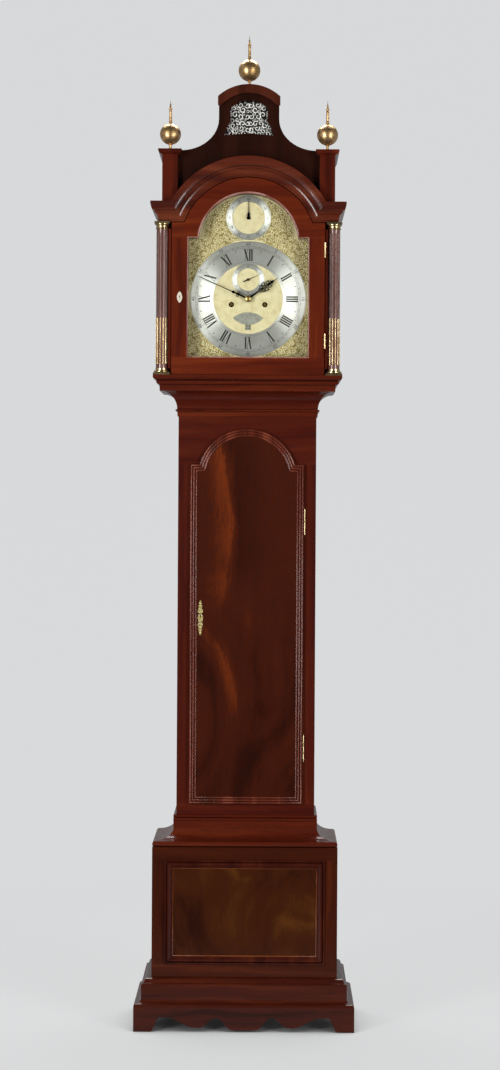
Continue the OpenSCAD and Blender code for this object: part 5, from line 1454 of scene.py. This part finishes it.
@dataclass
class DoorReeds(SubAssembly):
    """Three round reeds that edge the trunk door, and the cast escutcheon on it."""

    edge: float = 0.4 * MM
    shoulder: float = 1388 * MM
    arch_drop: float = 36 * MM
    reeds: int = 3
    wide: float = 19.0 * MM
    apart: float = 0.25 * MM
    lock_x: float = -114 * MM
    lock_turn: float = 0.9
    scroll_deep: float = 0.2 * MM
    lock_marks: tuple[Point, ...] = ((7, 3.3, 0.8), (15, 3.1, 0.75), (23, 2.6, 0.65), (30, 2.0, 0.55),
                                     (36, 1.3, 0.45))

    def outline(self, inset: float) -> Outline:
        """Return the door's edge line, drawn in by the inset: sill, sides, shoulders and arch."""
        low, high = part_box("trunk_door_moulding")
        half = high.x + self.edge - inset
        hub = self.shoulder - self.arch_drop
        reach = high.z + self.edge - hub - inset
        shoulder = self.shoulder - inset
        foot = math.asin((shoulder - hub) / reach)
        arch = bow((0.0, hub), reach, spread(foot, math.pi - foot, 48))
        sill = low.z - self.edge + inset
        return [(-half, sill), (half, sill), (half, shoulder)] + arch + [(-half, shoulder)]

    def edging(self) -> None:
        """Run the reeds round the door."""
        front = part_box("trunk_door_moulding")[0].y
        pitch = self.wide / self.reeds
        radius = pitch / 2 - self.apart
        points, edges = [], []
        for k in range(self.reeds):
            line = self.outline(pitch * (k + 0.5))
            edges += joined(len(line), len(points))
            points += [(x, front + radius, z) for x, z in line]
        reeds = self.bead("door_reeds", "reeds", radius, wire("door_reed_lines", points, edges))
        self.keep(reeds, "reeds", "trunk_door", "mahogany_dark", "trunk_door_moulding")

    def escutcheon(self) -> None:
        """Lay scrolls on the escutcheon, smaller towards its two ends."""
        lock = middle("trunk_lock").z
        marks = [Mark(self.lock_x + side * out * MM, lock + way * up * MM, side * way * self.lock_turn + up,
                      side * way > 0, size)
                 for side in (-1, 1) for way in (-1, 1) for up, out, size in self.lock_marks]
        # The scrolls take the pale copy of the gilt: a painted highlight.
        cast = Scrolls().run("lock_scrolls", {
            "Finish": self.palette.get("relief_lit"), "Turns": 1.2, "Heart": 0.7 * MM, "Reach": 2.8 * MM,
            "Bar": 0.5 * MM, "Rise": 1.4},
            marked_points("lock_points", marks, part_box("trunk_lock")[0].y + self.scroll_deep))
        self.keep(cast, "relief_lit", "trunk_door", "polished_brass")

    def build(self) -> None:
        """Make what is on the trunk door."""
        self.edging()
        self.escutcheon()


@dataclass
class HoodDoorBead(SubAssembly):
    """The small bead that runs round the glass of the hood door, pale as a painted highlight."""

    thick: float = 2.4 * MM
    half: float = 149.2 * MM
    sill: float = 1650.8 * MM
    shoulder: float = 1946.2 * MM
    arch_r: float = 123 * MM
    arch_drop: float = 14 * MM
    sunk: float = 0.3
    outward: float = 0.7

    def build(self) -> None:
        """Run the bead round the sight edge: sill, sides, shoulders and arch."""
        reach = self.arch_r + self.thick * self.outward
        foot = math.asin(self.arch_drop / reach)
        line = [(-self.half, self.sill), (self.half, self.sill), (self.half, self.shoulder)]
        line += bow((0.0, self.shoulder - self.arch_drop), reach, spread(foot, math.pi - foot, 40))
        line.append((-self.half, self.shoulder))
        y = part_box("hood_door")[0].y + self.thick * self.sunk
        path = wire("hood_door_line", [(x, y, z) for x, z in line], joined(len(line)))
        self.keep(self.bead("hood_door_bead", "bead", self.thick, path), "bead", "hood_door", "mahogany_red")


@dataclass
class GutLines(SubAssembly):
    """The two gut lines: each runs down from its drum, round its pulley and up again."""

    turn_steps: int = 12
    seat: float = 5 * MM

    def run(self, side: str) -> None:
        """Lay one line, from the case at its top round its weight's pulley at its foot.

        The straight strands have points only at their ends, so they stay straight.

        Args:
            side: going or strike.
        """
        low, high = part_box(f"{side}_line")
        thick = (high.y - low.y) / 2
        x, y = (low.x + high.x) / 2, (low.y + high.y) / 2
        reach = (high.x - low.x) / 2 - thick
        hub = low.z + thick + reach
        turn = bow((x, hub), reach, spread(math.pi, TURN, self.turn_steps))
        path = [(u, y, z) for u, z in [(x - reach, high.z)] + turn + [(x + reach, high.z)]]
        edges = joined(len(path), closed=False)
        line = self.bead(f"{side}_gut", "gut", thick, wire(f"{side}_path", path, edges))
        self.palette.dress(line, "gut")
        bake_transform(line)
        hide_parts(f"{side}_line")
        LOG.info("%s runs from case to %s_weight", line.name, side)

    def build(self) -> None:
        """Lay both lines."""
        for side in ("going", "strike"):
            self.run(side)


# The studio

@dataclass(frozen=True)
class SoftBox:
    """One soft lamp: where it stands, the point it faces, its width and height, and its power."""

    name: str
    place: Point
    aim: Point
    size: Flat
    watts: float


SOFT_BOXES = (
    SoftBox("left_box", (-2.5, -3.5, 1.6), (0, 0, 1.4), (1.3, 3.2), 150),
    SoftBox("right_box", (2.6, -3.4, 1.6), (0, 0, 1.4), (1.2, 3.2), 112),
    SoftBox("top_box", (0.0, 1.3, 4.2), (0, 0, 0.8), (3.0, 1.0), 110),
)


@dataclass
class Studio:
    """The plain floor and backdrop, the soft lamps and the camera of the photograph."""

    eye: Point = (0.057, -6.10, 1.30)
    distance: float = 6.0
    mm_per_pixel: float = 2.46
    width_px: int = 500
    height_px: int = 1070
    axis_px: Flat = (270.0, 500.0)
    lean_deg: float = 0.33
    sensor_mm: float = 36.0
    sight: float = 60.0
    floor_near: float = -9.0
    floor_bend: float = 2.6
    wall: float = 5.0
    wall_top: float = 9.0
    half_wide: float = 9.0
    bend_steps: int = 12
    under: float = 0.5 * MM
    aside: Flat = (0.5, 0.95)
    dimmed: Flat = (0.03, 0.42)
    shown: float = 0.995
    paper: Paper = Paper("backdrop_paper")

    def camera(self) -> None:
        """Set up the camera at the photograph's angle, with a small shift and no focus blur."""
        data = bpy.data.cameras.new("camera")
        data.sensor_fit = "VERTICAL"
        data.sensor_height = self.sensor_mm
        data.lens = self.sensor_mm * self.distance / (self.height_px * self.mm_per_pixel * MM)
        data.shift_x = (self.width_px / 2 - self.axis_px[0]) / self.height_px
        data.shift_y = (self.axis_px[1] - self.height_px / 2) / self.height_px
        data.clip_end = self.sight
        upright = Matrix.Rotation(math.radians(90), 4, "X")
        lean = Matrix.Rotation(math.radians(self.lean_deg), 4, "Z")
        bpy.context.scene.camera = self.stand(data, self.eye, upright @ lean)

    def stand(self, data: bpy.types.ID, place: Point, turn: Matrix) -> bpy.types.Object:
        """Stand a camera or a lamp in its place.

        Args:
            data: the camera's or the lamp's data.
            place: where it stands.
            turn: the way it faces.

        Returns:
            The new object.
        """
        made = link_new(data.name, data)
        made.location = place
        made.rotation_mode = "QUATERNION"
        made.rotation_quaternion = turn.to_quaternion()
        return made

    def sweep(self) -> None:
        """Build the floor and the backdrop as one sheet with a soft bend between them."""
        radius = self.wall - self.floor_bend
        line = [(self.floor_near, 0.0)]
        line += bow((self.floor_bend, radius), radius, spread(-math.pi / 2, 0.0, self.bend_steps))
        line.append((self.wall, self.wall_top))
        points = [(x, y, z - self.under) for y, z in line for x in (-self.half_wide, self.half_wide)]
        faces = [(2 * i, 2 * i + 1, 2 * i + 3, 2 * i + 2) for i in range(len(line) - 1)]
        mesh = bpy.data.meshes.new("studio_floor")
        mesh.from_pydata(points, [], faces)
        for face in mesh.polygons:
            face.use_smooth = True
        mesh.materials.append(self.paper.material())
        link_new("studio_floor", mesh)

    def lights(self) -> None:
        """Set the soft boxes."""
        for box in SOFT_BOXES:
            data = bpy.data.lights.new(box.name, "AREA")
            data.shape = "RECTANGLE"
            data.size, data.size_y = box.size
            data.energy = box.watts
            facing = (Vector(box.aim) - Vector(box.place)).to_track_quat("-Z", "Y")
            self.stand(data, box.place, facing.to_matrix())

    def room(self) -> None:
        """Light the room evenly for the eye, and darker ahead of and behind the polished wood."""
        world = bpy.data.worlds.new("room")
        bpy.context.scene.world = world
        world.use_nodes = True
        tree = world.node_tree
        tree.nodes.clear()
        way = put(tree, "SeparateXYZ", {0: put(tree, "TexCoord").outputs["Generated"]}).outputs["X"]
        side = put(tree, "Math", {0: way}, operation="ABSOLUTE")
        dim = put(tree, "MapRange", {0: side, 1: self.aside[0], 2: self.aside[1], 3: self.dimmed[0],
                                     4: self.dimmed[1]})
        seen = put(tree, "LightPath").outputs["Is Camera Ray"]
        strength = put(tree, "Mix", {0: seen, 2: dim, 3: self.shown})
        glow = put(tree, "Background", {0: linear(self.paper.colour), 1: strength})
        put(tree, "OutputWorld", {0: glow})

    def build(self) -> None:
        """Make the whole studio."""
        self.camera()
        self.sweep()
        self.lights()
        self.room()
        bpy.context.scene.view_settings.view_transform = "Standard"


def main() -> None:
    """Build the studio and the clock, in order, and report each piece."""
    logging.basicConfig(level=logging.INFO, format="%(message)s")
    Studio().build()
    palette = Palette()
    palette.dress_nodes()
    for part in (Dial, BaseVeneer, HoodDoorBead, HoodVeneer, DoorReeds, SoundFret, GutLines):
        part(palette).build()


if __name__ == "__main__":
    main()
